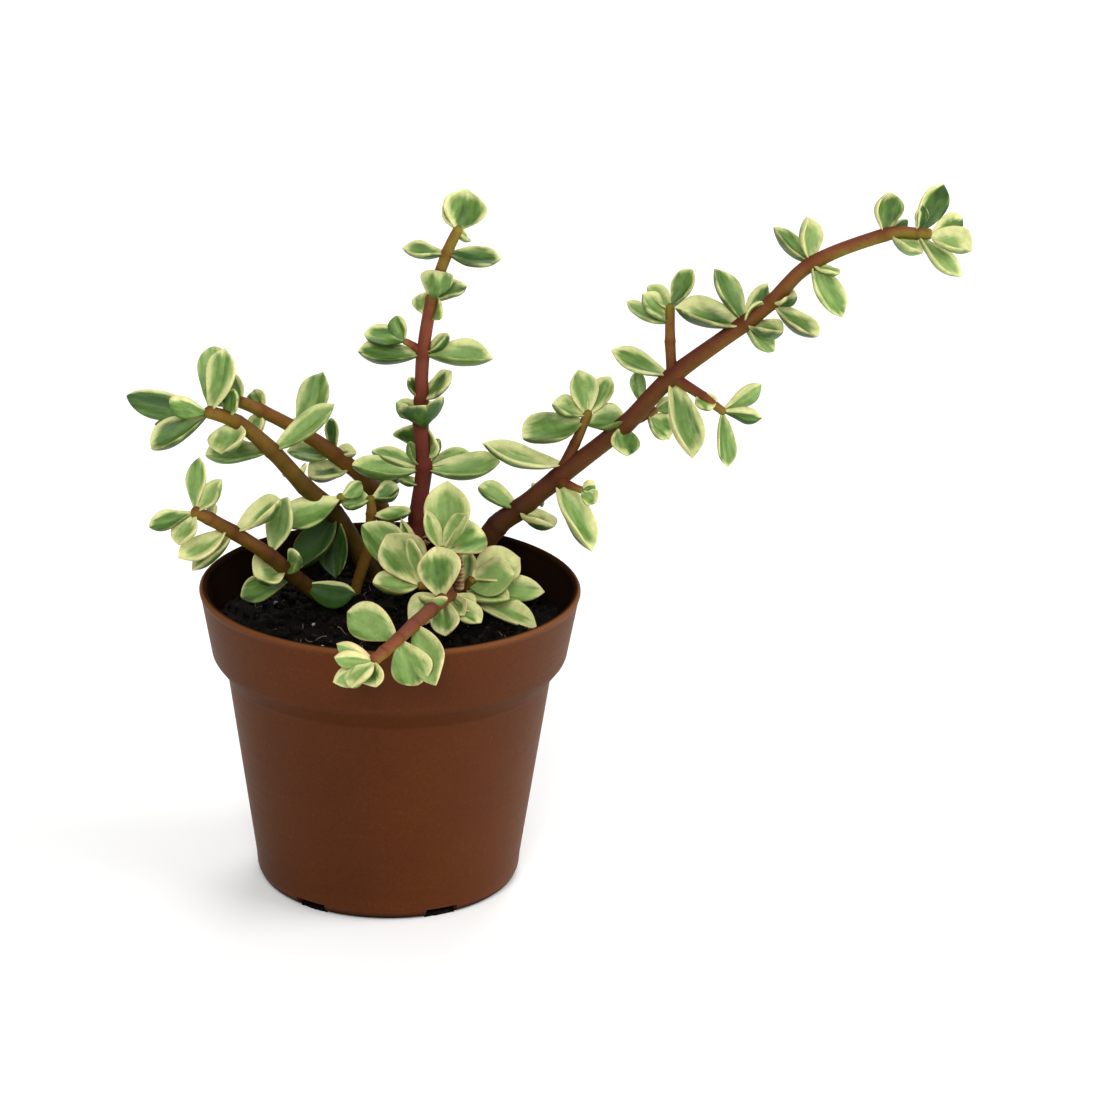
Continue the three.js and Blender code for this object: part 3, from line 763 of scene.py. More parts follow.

# Each stem's own look: how red and olive its bark is, how old its foot and its tip look, how pale, cream and
# pink its leaves are, and how much painted shade darkens the leaves at its foot
stemLooks = {
    "upright_stem": dict(red=0.9, olive=0.0, foot=0.2, tip=1.0, pale=0.35, cream=0.35, pink=0.05, dark=0.3),
    "right_stem": dict(red=0.45, olive=0.3, foot=0.15, tip=1.05, pale=0.45, cream=0.4, pink=0.08, dark=0.3),
    "left_stem": dict(red=0.0, olive=0.75, foot=0.2, tip=0.85, pale=0.45, cream=0.4, pink=0.05, dark=1.6),
    "rear_left_stem": dict(red=0.15, olive=0.4, foot=0.55, tip=0.9, pale=0.5, cream=0.6, pink=0.05, dark=1.2),
    "low_left_stem": dict(red=0.1, olive=0.4, foot=0.15, tip=0.88, pale=0.55, cream=0.6, pink=0.08, dark=1.6),
    "back_shoot": dict(red=0.1, olive=0.6, foot=0.5, tip=0.9, pale=0.45, cream=0.4, pink=0.05, dark=0.0),
    "front_stem": dict(red=0.35, olive=0.1, foot=0.6, tip=0.95, pale=0.75, cream=0.55, pink=0.3, dark=0.0),
    "right_shoot": dict(red=0.3, olive=0.5, foot=0.4, tip=0.9, pale=0.85, cream=0.6, pink=0.2, dark=0.0),
}


def makeLeafyStem(name, stem, leafMaterial, barkMaterial):
    draw = random.Random(name)
    stems, leaves, barkMarks, edges, tones = [], [], [], [], []
    look = stemLooks[name]
    for number, shoot in enumerate(stem["shoots"]):
        line = Line(shoot, stem["root"] if number == 0 else None)
        ages = (look["foot"], look["tip"]) if number == 0 else ((look["foot"] + look["tip"]) / 2, 1.0)
        verts, faces, marks = stemMesh(line, draw.uniform(0, 90), ages, look["red"], look["olive"])
        stems.append((verts, faces))
        barkMarks += marks
        for leaf in shoot["leaves"]:
            verts, faces, leafEdges = leafMesh(leaf, line, draw)
            leaves.append((verts, faces))
            edges += leafEdges
            # painted shade: leaves low on a rooted stem are painted darker and less cream
            shaded = look["dark"] * max(0, 1 - leaf[0] / leafTones["shadedPart"]) if line.first else 0
            person = draw.random()
            pale = look["pale"] - shaded + draw.uniform(-leafTones["pale"], leafTones["pale"])
            cream = look["cream"] * draw.uniform(*leafTones["rest"]) - shaded / 2
            pink = look["pink"] * draw.uniform(*leafTones["rest"])
            tones += [(person, pale, cream, pink)] * len(verts)
    bark = addPiece(name + "_bark", *joinParts(stems), "stem", [name])
    addMarks(bark, "stemMarks", barkMarks)
    blades = addPiece(name + "_leaves", *joinParts(leaves), "leaf", [name])
    addMarks(blades, "leafEdge", edges)
    addMarks(blades, "leafTone", tones)
    bark.data.materials.append(barkMaterial)
    blades.data.materials.append(leafMaterial)
    for piece in (bark, blades):
        turnOutward(piece)
    print(name, "made,", len(blades.data.polygons), "leaf faces")


# Withered leaves at the foot of the upright stem, given as leaf rows, and an old pale stump
witheredBits = {
    "seed": 21,
    "leaves": [
        [0.6, 9.2, 11.5, -3, 1.6, 0.5], [0.75, 9.5, 13.6, -2, 1.3, 0.3], [0.9, 8.6, 14.5, -3, 1.2, 0.8],
        [0.5, 8.8, 9.4, -4, 1.5, 0.4], [0.7, 2.6, 12.2, -2, 1.5, 0.5], [1, 9.9, 15.9, -1, 1.1, 0.5],
        [0.35, 3.1, 8.6, -3, 1.3, 0.4],
    ],
    "stump": [[14.6, 8.5, -3], [15.2, 3.5, -1], [15.3, -1.5, 1]],
    "stumpThick": (2.2, 2.4),
    "paper": (0.36, 0.24, 0.12),
    "brown": (0.1, 0.045, 0.018),
    "roughness": 0.75,
    "specular": 0.1,
    "bump": 0.5,
}


def makeWitheredMaterial():
    look = witheredBits
    material, tree, shader = newMaterial("withered_leaf")
    place = node(tree, "ShaderNodeTexCoord").outputs["Object"]
    grain = addGrain(tree, place, 500.0, 2600.0)
    rings = node(tree, "ShaderNodeTexWave", {"Vector": place, "Scale": 320.0, "Distortion": 3.0,
                                             "Detail": 2.0}, bands_direction="Z")
    mottle = smoothStep(tree, grain["Mask"], 0.38, 0.62)
    shade = mathOf(tree, "MULTIPLY_ADD", rings.outputs["Fac"], 0.4, mathOf(tree, "MULTIPLY", mottle, 0.6))
    tree.links.new(mix(tree, shade, look["brown"], look["paper"]), shader.inputs["Base Color"])
    shader.inputs["Roughness"].default_value = look["roughness"]
    shader.inputs["Specular IOR Level"].default_value = look["specular"]
    height = mathOf(tree, "ADD", grain["Height"], rings.outputs["Fac"])
    addRelief(tree, shader, height, look["bump"], 0.3)
    return material


def makeWitheredBits():
    draw = random.Random(witheredBits["seed"])
    stem = plant["upright_stem"]
    line = Line(stem["shoots"][0], stem["root"])
    parts = [leafMesh(leaf, line, draw)[:2] for leaf in witheredBits["leaves"]]
    stump = Line({"path": witheredBits["stump"], "thick": witheredBits["stumpThick"]}, None)
    parts.append(stemMesh(stump, draw.uniform(0, 90), (0, 0), 0, 0)[:2])
    piece = addPiece("withered_bits", *joinParts(parts), "stem", [])
    piece.data.materials.append(makeWitheredMaterial())
    turnOutward(piece)
    print("withered bits made")


# Leaf colours, and how far in from the edge the cream reaches
leafLook = {
    "cream": (0.52, 0.525, 0.225),
    "paleGreen": (0.2, 0.305, 0.085),
    "green": (0.1, 0.19, 0.034),
    "darkGreen": (0.024, 0.065, 0.009),
    "pink": (0.5, 0.17, 0.11),
    "tipSpot": (0.12, 0.06, 0.03),
    "creamWidth": (-0.15, 0.36),
    "paintedSkyLight": 0.62,
    "skywardFrom": 0.62,
    "bandSoftness": 0.36,
    "unevenness": 0.85,
    "roughness": (0.4, 0.6),
    "specular": 0.25,
    "bump": 0.25,
    "dust": (0.1, 0.08, 0.05),
    "throughLight": 0.12,
    "throughColour": (0.6, 1.0, 0.3),
}


def makeLeafMaterial():
    look = leafLook
    material, tree, shader = newMaterial("variegated_leaf")
    edges = node(tree, "ShaderNodeAttribute", attribute_name="leafEdge")
    tones = node(tree, "ShaderNodeAttribute", attribute_name="leafTone")
    edge, share, across = node(tree, "ShaderNodeSeparateColor", {0: edges.outputs["Color"]}).outputs
    skyLitShare = edges.outputs["Alpha"]
    person, paleness, margin = node(tree, "ShaderNodeSeparateColor", {0: tones.outputs["Color"]}).outputs
    pinkness = tones.outputs["Alpha"]
    # streaks run along the leaf, so the noise is stretched that way
    streakPlace = node(tree, "ShaderNodeCombineXYZ", {
        0: mathOf(tree, "MULTIPLY", across, 1.5), 1: mathOf(tree, "MULTIPLY", share, 1.1),
        2: mathOf(tree, "MULTIPLY", person, 61.0)}).outputs[0]
    broad = node(tree, "ShaderNodeTexNoise", {"Vector": streakPlace, "Scale": 1.3, "Detail": 2.0})
    fine = node(tree, "ShaderNodeTexNoise", {"Vector": streakPlace, "Scale": 3.4, "Detail": 2.0,
                                             "Distortion": 0.7})
    broadShift = mathOf(tree, "MULTIPLY_ADD", broad.outputs["Fac"], look["unevenness"],
                        -look["unevenness"] / 2)
    fineShift = mathOf(tree, "MULTIPLY_ADD", fine.outputs["Fac"], 0.24, -0.12)
    depth = mathOf(tree, "ADD", mathOf(tree, "ADD", edge, broadShift), fineShift)
    # painted light: rims that face the sky are painted the most cream, and the belly stays green
    depth = mathOf(tree, "ADD", depth, mathOf(tree, "MULTIPLY_ADD", skyLitShare, -look["paintedSkyLight"],
                                              look["paintedSkyLight"] * look["skywardFrom"]))
    low, high = look["creamWidth"]
    reach = mathOf(tree, "MULTIPLY_ADD", margin, high - low, low)
    soft = mathOf(tree, "ADD", reach, look["bandSoftness"])
    greenMask = smoothStep(tree, depth, mathOf(tree, "SUBTRACT", reach, 0.06), soft)
    # from pale to dark green by the leaf's own paleness and by broad streaks
    greenness = mathOf(tree, "SUBTRACT", 0.05, paleness)
    greenness = mathOf(tree, "MULTIPLY_ADD", broad.outputs["Fac"], 1.6, greenness)
    greenness = mathOf(tree, "MULTIPLY_ADD", fine.outputs["Fac"], 0.4, greenness)
    # painted light: parts that face the sky are painted paler green, the belly darker
    greenness = mathOf(tree, "MULTIPLY_ADD", skyLitShare, -0.4, mathOf(tree, "ADD", greenness, 0.1))
    green = ramp(tree, greenness, [(0.1, look["paleGreen"]), (0.5, look["green"]), (1.0, look["darkGreen"])])
    colour = mix(tree, greenMask, look["cream"], green)
    rim = smoothStep(tree, edge, 0.13, 0.0)
    colour = mix(tree, mathOf(tree, "MULTIPLY", rim, pinkness, clamp=True), colour, look["pink"])
    tipMask = smoothStep(tree, share, 0.985, 1.0)
    colour = mix(tree, mathOf(tree, "MULTIPLY", tipMask, 0.7), colour, look["tipSpot"])
    solid = node(tree, "ShaderNodeTexCoord").outputs["Object"]
    grain = addGrain(tree, solid, 700.0, 3200.0)
    shade = mathOf(tree, "MULTIPLY_ADD", grain["Mask"], 0.6, 0.7)
    shadeColour = node(tree, "ShaderNodeCombineColor", {0: shade, 1: shade, 2: shade}).outputs[0]
    colour = mix(tree, 1.0, colour, shadeColour, "MULTIPLY")
    colour = addDust(tree, solid, colour, 900.0, 0.34, 0.35, look["dust"])
    tree.links.new(colour, shader.inputs["Base Color"])
    addRoughness(tree, shader, grain["Mask"], look["roughness"])
    addRelief(tree, shader, grain["Height"], look["bump"], 0.3)
    shader.inputs["Subsurface Weight"].default_value = look["throughLight"]
    shader.inputs["Subsurface Radius"].default_value = look["throughColour"]
    shader.inputs["Subsurface Scale"].default_value = 1.5 * mm
    shader.inputs["Specular IOR Level"].default_value = look["specular"]
    return material


# Three barks, each in colours from the oldest part of a stem to its tip
barkLook = {
    "brown": [(0, (0.012, 0.006, 0.002)), (0.3, (0.03, 0.013, 0.002)), (0.6, (0.065, 0.021, 0.003)),
              (0.85, (0.14, 0.05, 0.008)), (1, (0.14, 0.1, 0.012))],
    "maroon": [(0, (0.012, 0.004, 0.002)), (0.3, (0.03, 0.006, 0.004)), (0.6, (0.11, 0.02, 0.015)),
               (0.85, (0.16, 0.04, 0.022)), (1, (0.18, 0.13, 0.015))],
    "olive": [(0, (0.012, 0.008, 0.002)), (0.3, (0.03, 0.02, 0.002)), (0.6, (0.065, 0.04, 0.003)),
              (0.85, (0.15, 0.09, 0.012)), (1, (0.13, 0.12, 0.012))],
    "joint": (0.5, 0.3, 0.2),
    "dust": (0.05, 0.03, 0.01),
    "roughness": (0.5, 0.7),
    "specular": 0.1,
    "bump": 0.5,
}


def makeBarkMaterial():
    look = barkLook
    material, tree, shader = newMaterial("stem_bark")
    marks = node(tree, "ShaderNodeAttribute", attribute_name="stemMarks")
    age, red, joint = node(tree, "ShaderNodeSeparateColor", {0: marks.outputs["Color"]}).outputs
    solid = node(tree, "ShaderNodeTexCoord").outputs["Object"]
    grain = addGrain(tree, solid, 260.0, 1900.0)
    shifted = mathOf(tree, "MULTIPLY_ADD", grain["Mask"], 0.3, mathOf(tree, "SUBTRACT", age, 0.15))
    brown = ramp(tree, shifted, look["brown"])
    maroon = ramp(tree, shifted, look["maroon"])
    colour = mix(tree, red, brown, maroon)
    colour = mix(tree, marks.outputs["Alpha"], colour, ramp(tree, shifted, look["olive"]))
    darker = mix(tree, 1.0, colour, look["joint"], "MULTIPLY")
    colour = mix(tree, mathOf(tree, "MULTIPLY", joint, 0.5), colour, darker)
    colour = addDust(tree, solid, colour, 700.0, 0.5, 0.3, look["dust"])
    tree.links.new(colour, shader.inputs["Base Color"])
    addRoughness(tree, shader, grain["Mask"], look["roughness"])
    addRelief(tree, shader, grain["Height"], look["bump"], 0.2)
    shader.inputs["Specular IOR Level"].default_value = look["specular"]
    return material


leafMaterial = makeLeafMaterial()
barkMaterial = makeBarkMaterial()
for stemName, stem in plant.items():
    makeLeafyStem(stemName, stem, leafMaterial, barkMaterial)
makeWitheredBits()


# The pot, in millimetres: the outer wall from the floor up, then the inner wall down
pot = {
    "height": 69,
    "rimRadius": 42.5,
    "collarFoot": (39.7, 53.4),
    "ledge": (36.3, 48.9),
    "wallFoot": (29.6, 2.4),
    "floorRadius": 27.6,
    "wall": 1.2,
    "lip": 1.7,
    "lipDrop": 1.6,
    "floor": 1.5,
    "segments": 180,
    "cornerReach": 0.7,
    "cornerSteps": 4,
    "slots": 6,
    "slotWidth": 7.5,
    "slotHeight": 2.3,
    "slotDepth": 6,
    "firstSlot": -65.7,
}


def rounded(points, radius, steps):
    # the same outline with each inner corner cut back to a small arc
    done = [points[0]]
    for before, corner, after in zip(points, points[1:], points[2:]):
        a, b, c = Vector(before), Vector(corner), Vector(after)
        reach = min(radius, (a - b).length * 0.45, (c - b).length * 0.45)
        start, end = b + (a - b).normalized() * reach, b + (c - b).normalized() * reach
        for k in range(steps + 1):
            t = k / steps
            done.append(tuple(start * (1 - t) ** 2 + b * 2 * t * (1 - t) + end * t * t))
    done.append(points[-1])
    return done


def turned(profile, segments):
    # turns an outline that starts and ends on the axis
    verts, faces = [(0, 0, profile[0][1] * mm)], []
    for radius, height in profile[1:-1]:
        for k in range(segments):
            angle = 2 * math.pi * k / segments
            verts.append((radius * math.cos(angle) * mm, radius * math.sin(angle) * mm, height * mm))
    verts.append((0, 0, profile[-1][1] * mm))
    rings, last = len(profile) - 2, len(verts) - 1
    for k in range(segments):
        nextK = (k + 1) % segments
        faces.append((0, 1 + nextK, 1 + k))
        for ring in range(rings - 1):
            a, b = 1 + ring * segments + k, 1 + ring * segments + nextK
            faces.append((a, b, b + segments, a + segments))
        top = 1 + (rings - 1) * segments
        faces.append((top + k, top + nextK, last))
    return verts, faces


def wallRadius(z):
    (collarRadius, collarZ), (ledgeRadius, ledgeZ) = pot["collarFoot"], pot["ledge"]
    heights = [0, ledgeZ, collarZ, pot["height"]]
    return float(np.interp(z, heights, [pot["wallFoot"][0], ledgeRadius, collarRadius, pot["rimRadius"]]))


def potOutline():
    # the wall's section from the middle of its underside, out and up round the lip, and down inside
    top, thick, lip = pot["height"], pot["wall"], pot["lip"]
    lipZ = top - pot["lipDrop"]
    (collarRadius, collarZ), (ledgeRadius, ledgeZ) = pot["collarFoot"], pot["ledge"]
    (footRadius, footZ), floorRadius = pot["wallFoot"], pot["floorRadius"]
    rim, floor = pot["rimRadius"], pot["floor"]
    underside = [(0, 0), (floorRadius - 3, 0), (floorRadius, 0), (floorRadius + 1.3, footZ * 0.25)]
    wall = [(footRadius + 0.15, footZ), (footRadius + 0.4, footZ + 3), (ledgeRadius - 0.05, ledgeZ - 0.4)]
    collar = [(ledgeRadius + 0.35, ledgeZ + 0.5), (collarRadius - 0.45, collarZ - 0.6),
              (collarRadius, collarZ + 0.2)]
    lipRound = [(rim - 0.3, lipZ), (rim, lipZ + 0.5), (rim, top - 0.5), (rim - 0.5, top),
                (rim - lip + 0.4, top), (rim - lip, top - 0.5)]
    inside = [(wallRadius(lipZ) - thick - 0.1, lipZ - 0.2), (wallRadius(collarZ) - thick, collarZ),
              (wallRadius(ledgeZ) - thick, ledgeZ), (wallRadius(floor + 1.5) - thick, floor + 1.5),
              (floorRadius - 0.6, floor), (0, floor)]
    return underside + wall + collar + lipRound + inside


def cutSlots(piece):
    cutters = []
    footRadius = pot["wallFoot"][0]
    for number in range(pot["slots"]):
        angle = math.radians(pot["firstSlot"] + number * 360 / pot["slots"])
        box = bmesh.new()
        bmesh.ops.create_cube(box, size=1)
        mesh = bpy.data.meshes.new("slotCutter")
        box.to_mesh(mesh)
        box.free()
        cutter = bpy.data.objects.new("slotCutter", mesh)
        bpy.context.scene.collection.objects.link(cutter)
        size = (pot["slotDepth"] * mm, pot["slotWidth"] * mm, pot["slotHeight"] * 2 * mm)
        cutter.matrix_world = (Matrix.Rotation(angle, 4, "Z") @ Matrix.Translation((footRadius * mm, 0, 0))
                               @ Matrix.Diagonal((*size, 1)))
        cut = piece.modifiers.new("slot", "BOOLEAN")
        cut.operation = "DIFFERENCE"
        cut.solver = "EXACT"
        cut.object = cutter
        cutters.append(cutter)
    bpy.context.view_layer.update()
    cutMesh = bpy.data.meshes.new_from_object(piece.evaluated_get(bpy.context.evaluated_depsgraph_get()))
    piece.modifiers.clear()
    piece.data = cutMesh
    for cutter in cutters:
        bpy.data.objects.remove(cutter)
    for polygon in piece.data.polygons:
        polygon.use_smooth = True


def makePot():
    verts, faces = turned(rounded(potOutline(), pot["cornerReach"], pot["cornerSteps"]), pot["segments"])
    piece = addPiece("nursery_pot", verts, faces, "pot_plastic", ["pot"])
    turnOutward(piece)
    cutSlots(piece)
    # the first mark is 0 on the outer wall and the underside, and rises to 1 at 0.9 mm behind the wall
    marks = []
    for vert in piece.data.vertices:
        x, y, z = (part / mm for part in vert.co)
        depth = (wallRadius(z) - math.hypot(x, y) - 0.3) / 0.6
        marks.append((min(max(depth, 0), 1) if z > 0.1 else 0, 0, 0, 0))
    addMarks(piece, "potMarks", marks)
    sharp = piece.modifiers.new("weights", "WEIGHTED_NORMAL")
    sharp.keep_sharp = True
    piece.data.materials.append(makePotMaterial())
    print("pot made")


# The look of the plastic and of the dust on it, with a painted highlight on the lip and painted shade under
# the collar and inside
potLook = {
    "colour": (0.08, 0.0175, 0.0012),
    "darkColour": (0.042, 0.0102, 0.0008),
    "scuffAndHighlightColour": (0.13, 0.042, 0.009),
    "dustColour": (0.16, 0.08, 0.03),
    "lineAndShadeColour": (0.03, 0.008, 0.002),
    "stepShade": 0.12,
    "stepDullness": 0.55,
    "sheenTint": (1.0, 0.6, 0.2),
    "sheen": 0.04,
    "insideShadeColour": (0.006, 0.004, 0.0025),
    "roughness": (0.5, 0.62),
    "specular": 0.1,
    "bump": 0.3,
}


def makePotMaterial():
    look = potLook
    material, tree, shader = newMaterial("brown_pot_plastic")
    solid = node(tree, "ShaderNodeTexCoord").outputs["Object"]
    marks = node(tree, "ShaderNodeAttribute", attribute_name="potMarks")
    inside = node(tree, "ShaderNodeSeparateColor", {0: marks.outputs["Color"]}).outputs[0]
    grain = addGrain(tree, solid, 30.0, 1700.0, 0.8)
    speckle = node(tree, "ShaderNodeTexNoise", {"Vector": solid, "Scale": 1400.0, "Detail": 2.0})
    squashed = node(tree, "ShaderNodeMapping", {"Vector": solid, "Scale": (1, 1, 14)}).outputs[0]
    scuffs = node(tree, "ShaderNodeTexNoise", {"Vector": squashed, "Scale": 60.0, "Detail": 4.0})
    patch = mathOf(tree, "SUBTRACT", grain["Mask"], 0.45)
    patch = mathOf(tree, "MULTIPLY_ADD", speckle.outputs["Fac"], 0.9, patch, clamp=True)
    colour = mix(tree, patch, look["darkColour"], look["colour"])
    scuff = smoothStep(tree, scuffs.outputs["Fac"], 0.6, 0.78)
    colour = mix(tree, mathOf(tree, "MULTIPLY", scuff, 0.12), colour, look["scuffAndHighlightColour"])
    height = node(tree, "ShaderNodeSeparateXYZ", {0: solid}).outputs[2]
    # painted highlight: the lip is painted lighter towards its top, where the rim catches the light; the same
    # colour marks the scuffs
    lip = smoothStep(tree, height, (pot["height"] - pot["lipDrop"]) * mm, (pot["height"] - 0.2) * mm)
    colour = mix(tree, mathOf(tree, "MULTIPLY", lip, 0.8), colour, look["scuffAndHighlightColour"])
    # a thin darker line along the foot of the collar
    seam = mathOf(tree, "SUBTRACT", height, pot["collarFoot"][1] * mm)
    seam = smoothStep(tree, mathOf(tree, "ABSOLUTE", seam), 0.5 * mm, 0.1 * mm)
    colour = mix(tree, mathOf(tree, "MULTIPLY", seam, 0.35), colour, look["lineAndShadeColour"])
    # painted shade under the collar, where the wall steps in
    collarZ, ledgeZ = pot["collarFoot"][1], pot["ledge"][1]
    step = mathOf(tree, "MULTIPLY", smoothStep(tree, height, (ledgeZ - 0.6) * mm, (ledgeZ + 0.6) * mm),
                  smoothStep(tree, height, (collarZ + 0.2) * mm, (collarZ - 0.8) * mm))
    colour = mix(tree, mathOf(tree, "MULTIPLY", step, look["stepShade"]), colour, look["lineAndShadeColour"])
    colour = addDust(tree, solid, colour, 700.0, 0.3, 0.12, look["dustColour"])
    # painted shade: the inner wall and the faces of the slots are painted near black, as shade inside the pot
    insideShade = mathOf(tree, "MULTIPLY_ADD", grain["Mask"], 0.3, 0.78)
    insideShade = mathOf(tree, "MULTIPLY", inside, insideShade, clamp=True)
    colour = mix(tree, insideShade, colour, look["insideShadeColour"])
    tree.links.new(colour, shader.inputs["Base Color"])
    smooth, rough = look["roughness"]
    roughness = mathOf(tree, "MULTIPLY_ADD", scuffs.outputs["Fac"], rough - smooth, smooth)
    tree.links.new(mathOf(tree, "MULTIPLY_ADD", inside, 0.35, roughness), shader.inputs["Roughness"])
    addRelief(tree, shader, grain["Height"], look["bump"], 0.1)
    dull = mathOf(tree, "MAXIMUM", inside, mathOf(tree, "MULTIPLY", step, look["stepDullness"]))
    shiny = mathOf(tree, "SUBTRACT", 1.0, dull)
    tree.links.new(mathOf(tree, "MULTIPLY", shiny, look["specular"]), shader.inputs["Specular IOR Level"])
    tree.links.new(mathOf(tree, "MULTIPLY", shiny, look["sheen"]), shader.inputs["Sheen Weight"])
    shader.inputs["Sheen Roughness"].default_value = 0.45
    shader.inputs["Sheen Tint"].default_value = (*look["sheenTint"], 1)
    return material


makePot()


# The soil: a lumpy top over a plain body, loose crumbs, and pale grains
soil = {
    "top": 59.3,
    "gap": 0.3,
    "rings": 70,
    "segments": 150,
    "relief": 0.8,
    "crumbs": 1300,
    "crumbSize": (0.4, 2.3),
    "smallCrumbs": 2.6,
    "seed": 11,
    "broadWave": 0.29,
    "fineWave": 0.77,
    "grains": [(-15, -14, 1.1), (-38, -4, 1.0), (-17, -1, 0.9), (6, -22, 0.8), (24, -19, 0.9), (-4, 14, 1.0),
               (-26, 12, 0.9), (29, 4, 1.0), (33, -8, 0.7), (-9, -31, 0.8)],
}


def lumps(x, y):
    # the same low lumps as the solid, with finer ones on top, in millimetres
    wide, narrow = soil["broadWave"], soil["fineWave"]
    broad = math.cos(x * wide) * math.cos(y * wide)
    fine = math.sin((x - y) * narrow) + math.cos((x + y) * narrow)
    spot = Vector((x, y, 3.0))
    crumbly = noise.fractal(spot * 0.4, 0.9, 2.1, 5) * 0.8 + abs(noise.noise(spot * 0.9)) * 0.9
    return soil["relief"] * (0.5 * broad + 0.3 * fine + crumbly)


# Painted shade in the slots: a low dark wedge in each of them, coloured like the soil, where the slot's floor
# lies in shadow
slotShadeWedge = {
    "inner": 26.8,
    "outer": 28.5,
    "high": 1.4,
    "low": 0.03,
    "steps": 12,
    "roughness": 0.3,
}


def makeSlotShade(draw):
    wedge = slotShadeWedge
    verts, faces = [], []
    for number in range(pot["slots"]):
        middle = math.radians(pot["firstSlot"] + number * 360 / pot["slots"])
        spread = (pot["slotWidth"] / 2 - 0.1) / wedge["outer"]
        start = len(verts)
        for step in range(wedge["steps"] + 1):
            angle = middle + spread * (2 * step / wedge["steps"] - 1)
            outer = wedge["outer"] - draw.uniform(0, 1) * wedge["roughness"]
            high = wedge["high"] - draw.uniform(0, 1) * wedge["roughness"]
            inner, low = wedge["inner"], wedge["low"]
            for radius, height in ((inner, low), (outer, low), (inner, high)):
                verts.append((radius * math.cos(angle) * mm, radius * math.sin(angle) * mm, height * mm))
        for step in range(wedge["steps"]):
            a = start + step * 3
            faces += [(a + k, a + (k + 1) % 3, a + (k + 1) % 3 + 3, a + k + 3) for k in range(3)]
        end = start + wedge["steps"] * 3
        faces += [(start, start + 2, start + 1), (end, end + 1, end + 2)]
    piece = addPiece("slot_shade", verts, faces, "soil", [])
    turnOutward(piece)
    return piece


def makeSoil():
    gap, floor, top = soil["gap"], pot["floor"], soil["top"]
    thick, ledgeZ, collarZ = pot["wall"], pot["ledge"][1], pot["collarFoot"][1]
    edge = wallRadius(top - 1) - thick - gap
    foot = floor + 1.5 + gap
    profile = [(0, floor + gap), (pot["floorRadius"] - 1.4, floor + gap)]
    profile += [(wallRadius(z) - thick - gap, z) for z in (foot, ledgeZ, collarZ)] + [(edge, top - 0.7)]
    profile += [(edge * (1 - k / soil["rings"]), top) for k in range(soil["rings"])] + [(0, top)]
    verts, faces = turned(profile, soil["segments"])
    lifted = []
    for x, y, z in verts:
        if z > (top - 0.01) * mm:
            z += lumps(x / mm, y / mm) * mm
        lifted.append((x, y, z))
    body = addPiece("soil_body", lifted, faces, "soil", ["soil"])
    turnOutward(body)
    draw = random.Random(soil["seed"])
    stems = [(stem["root"], stem["shoots"][0]["thick"][0]) for stem in plant.values()]
    smallest, largest = soil["crumbSize"]
    crumbs = []
    while len(crumbs) < soil["crumbs"]:
        radius, angle = (edge - 1.2) * math.sqrt(draw.random()), draw.uniform(0, 2 * math.pi)
        x, y = radius * math.cos(angle), radius * math.sin(angle)
        size = draw.uniform(0, 1) ** soil["smallCrumbs"] * (largest - smallest) + smallest
        if all(math.dist((x, y), root) > thick / 2 + size for root, thick in stems):
            crumbs.append((x, y, size))
    loose = makeLumps("soil_crumbs", crumbs, draw, 0.75, 0.5)
    grains = makeLumps("pale_grains", soil["grains"], draw, 0.9, 0.2)
    makeFibres(edge)
    slotShade = makeSlotShade(draw)
    soilMaterial = makeSoilMaterial()
    for piece in (slotShade, body, loose):
        piece.data.materials.append(soilMaterial)
    grains.data.materials.append(makeGrainMaterial())
    print("soil made")


# Thin roots and bits of coir lying about on the soil
fibre = {
    "count": 70,
    "seed": 5,
    "fromWall": 6,
    "bend": 0.25,
    "thick": (0.07, 0.16),
    "rings": 9,
    "step": 0.6,
    "above": 0.35,
    "arch": 0.5,
    "roughness": 0.8,
    "bump": 0.4,
}


def makeFibres(edge):
    draw = random.Random(fibre["seed"])
    parts = []
    rings, stride = fibre["rings"], fibre["step"]
    for number in range(fibre["count"]):
        radius, angle = (edge - fibre["fromWall"]) * math.sqrt(draw.random()), draw.uniform(0, 2 * math.pi)
        x, y = radius * math.cos(angle), radius * math.sin(angle)
        heading = draw.uniform(0, 6.28)
        bend = draw.uniform(-fibre["bend"], fibre["bend"])
        thick = draw.uniform(*fibre["thick"])
        verts = []
        for k in range(rings):
            z = soil["top"] + lumps(x, y) + fibre["above"] + fibre["arch"] * math.sin(k * 0.8 + number)
            across = Vector((-math.sin(heading), math.cos(heading), 0))
            for turn in range(4):
                out = across * math.cos(turn * math.pi / 2) + Vector((0, 0, math.sin(turn * math.pi / 2)))
                verts.append((Vector((x, y, z)) + out * thick) * mm)
            x, y = x + math.cos(heading) * stride, y + math.sin(heading) * stride
            heading += bend
        faces = [(k * 4 + j, k * 4 + (j + 1) % 4, k * 4 + (j + 1) % 4 + 4, k * 4 + j + 4)
                 for k in range(rings - 1) for j in range(4)]
        last = len(verts)
        faces += [(3, 2, 1, 0), (last - 4, last - 3, last - 2, last - 1)]
        parts.append((verts, faces))
    fibres = addPiece("soil_fibres", *joinParts(parts), "soil", [])
    fibres.data.materials.append(makeFibreMaterial())
    turnOutward(fibres)


def makeFibreMaterial():
    material, tree, shader = newMaterial("coir_fibre")
    solid = node(tree, "ShaderNodeTexCoord").outputs["Object"]
    grain = addGrain(tree, solid, 220.0, 3000.0)
    colour = ramp(tree, grain["Mask"], [(0.35, (0.012, 0.007, 0.003)), (0.65, (0.11, 0.075, 0.04))])
    tree.links.new(colour, shader.inputs["Base Color"])
    shader.inputs["Roughness"].default_value = fibre["roughness"]
    addRelief(tree, shader, grain["Height"], fibre["bump"], 0.1)
    return material


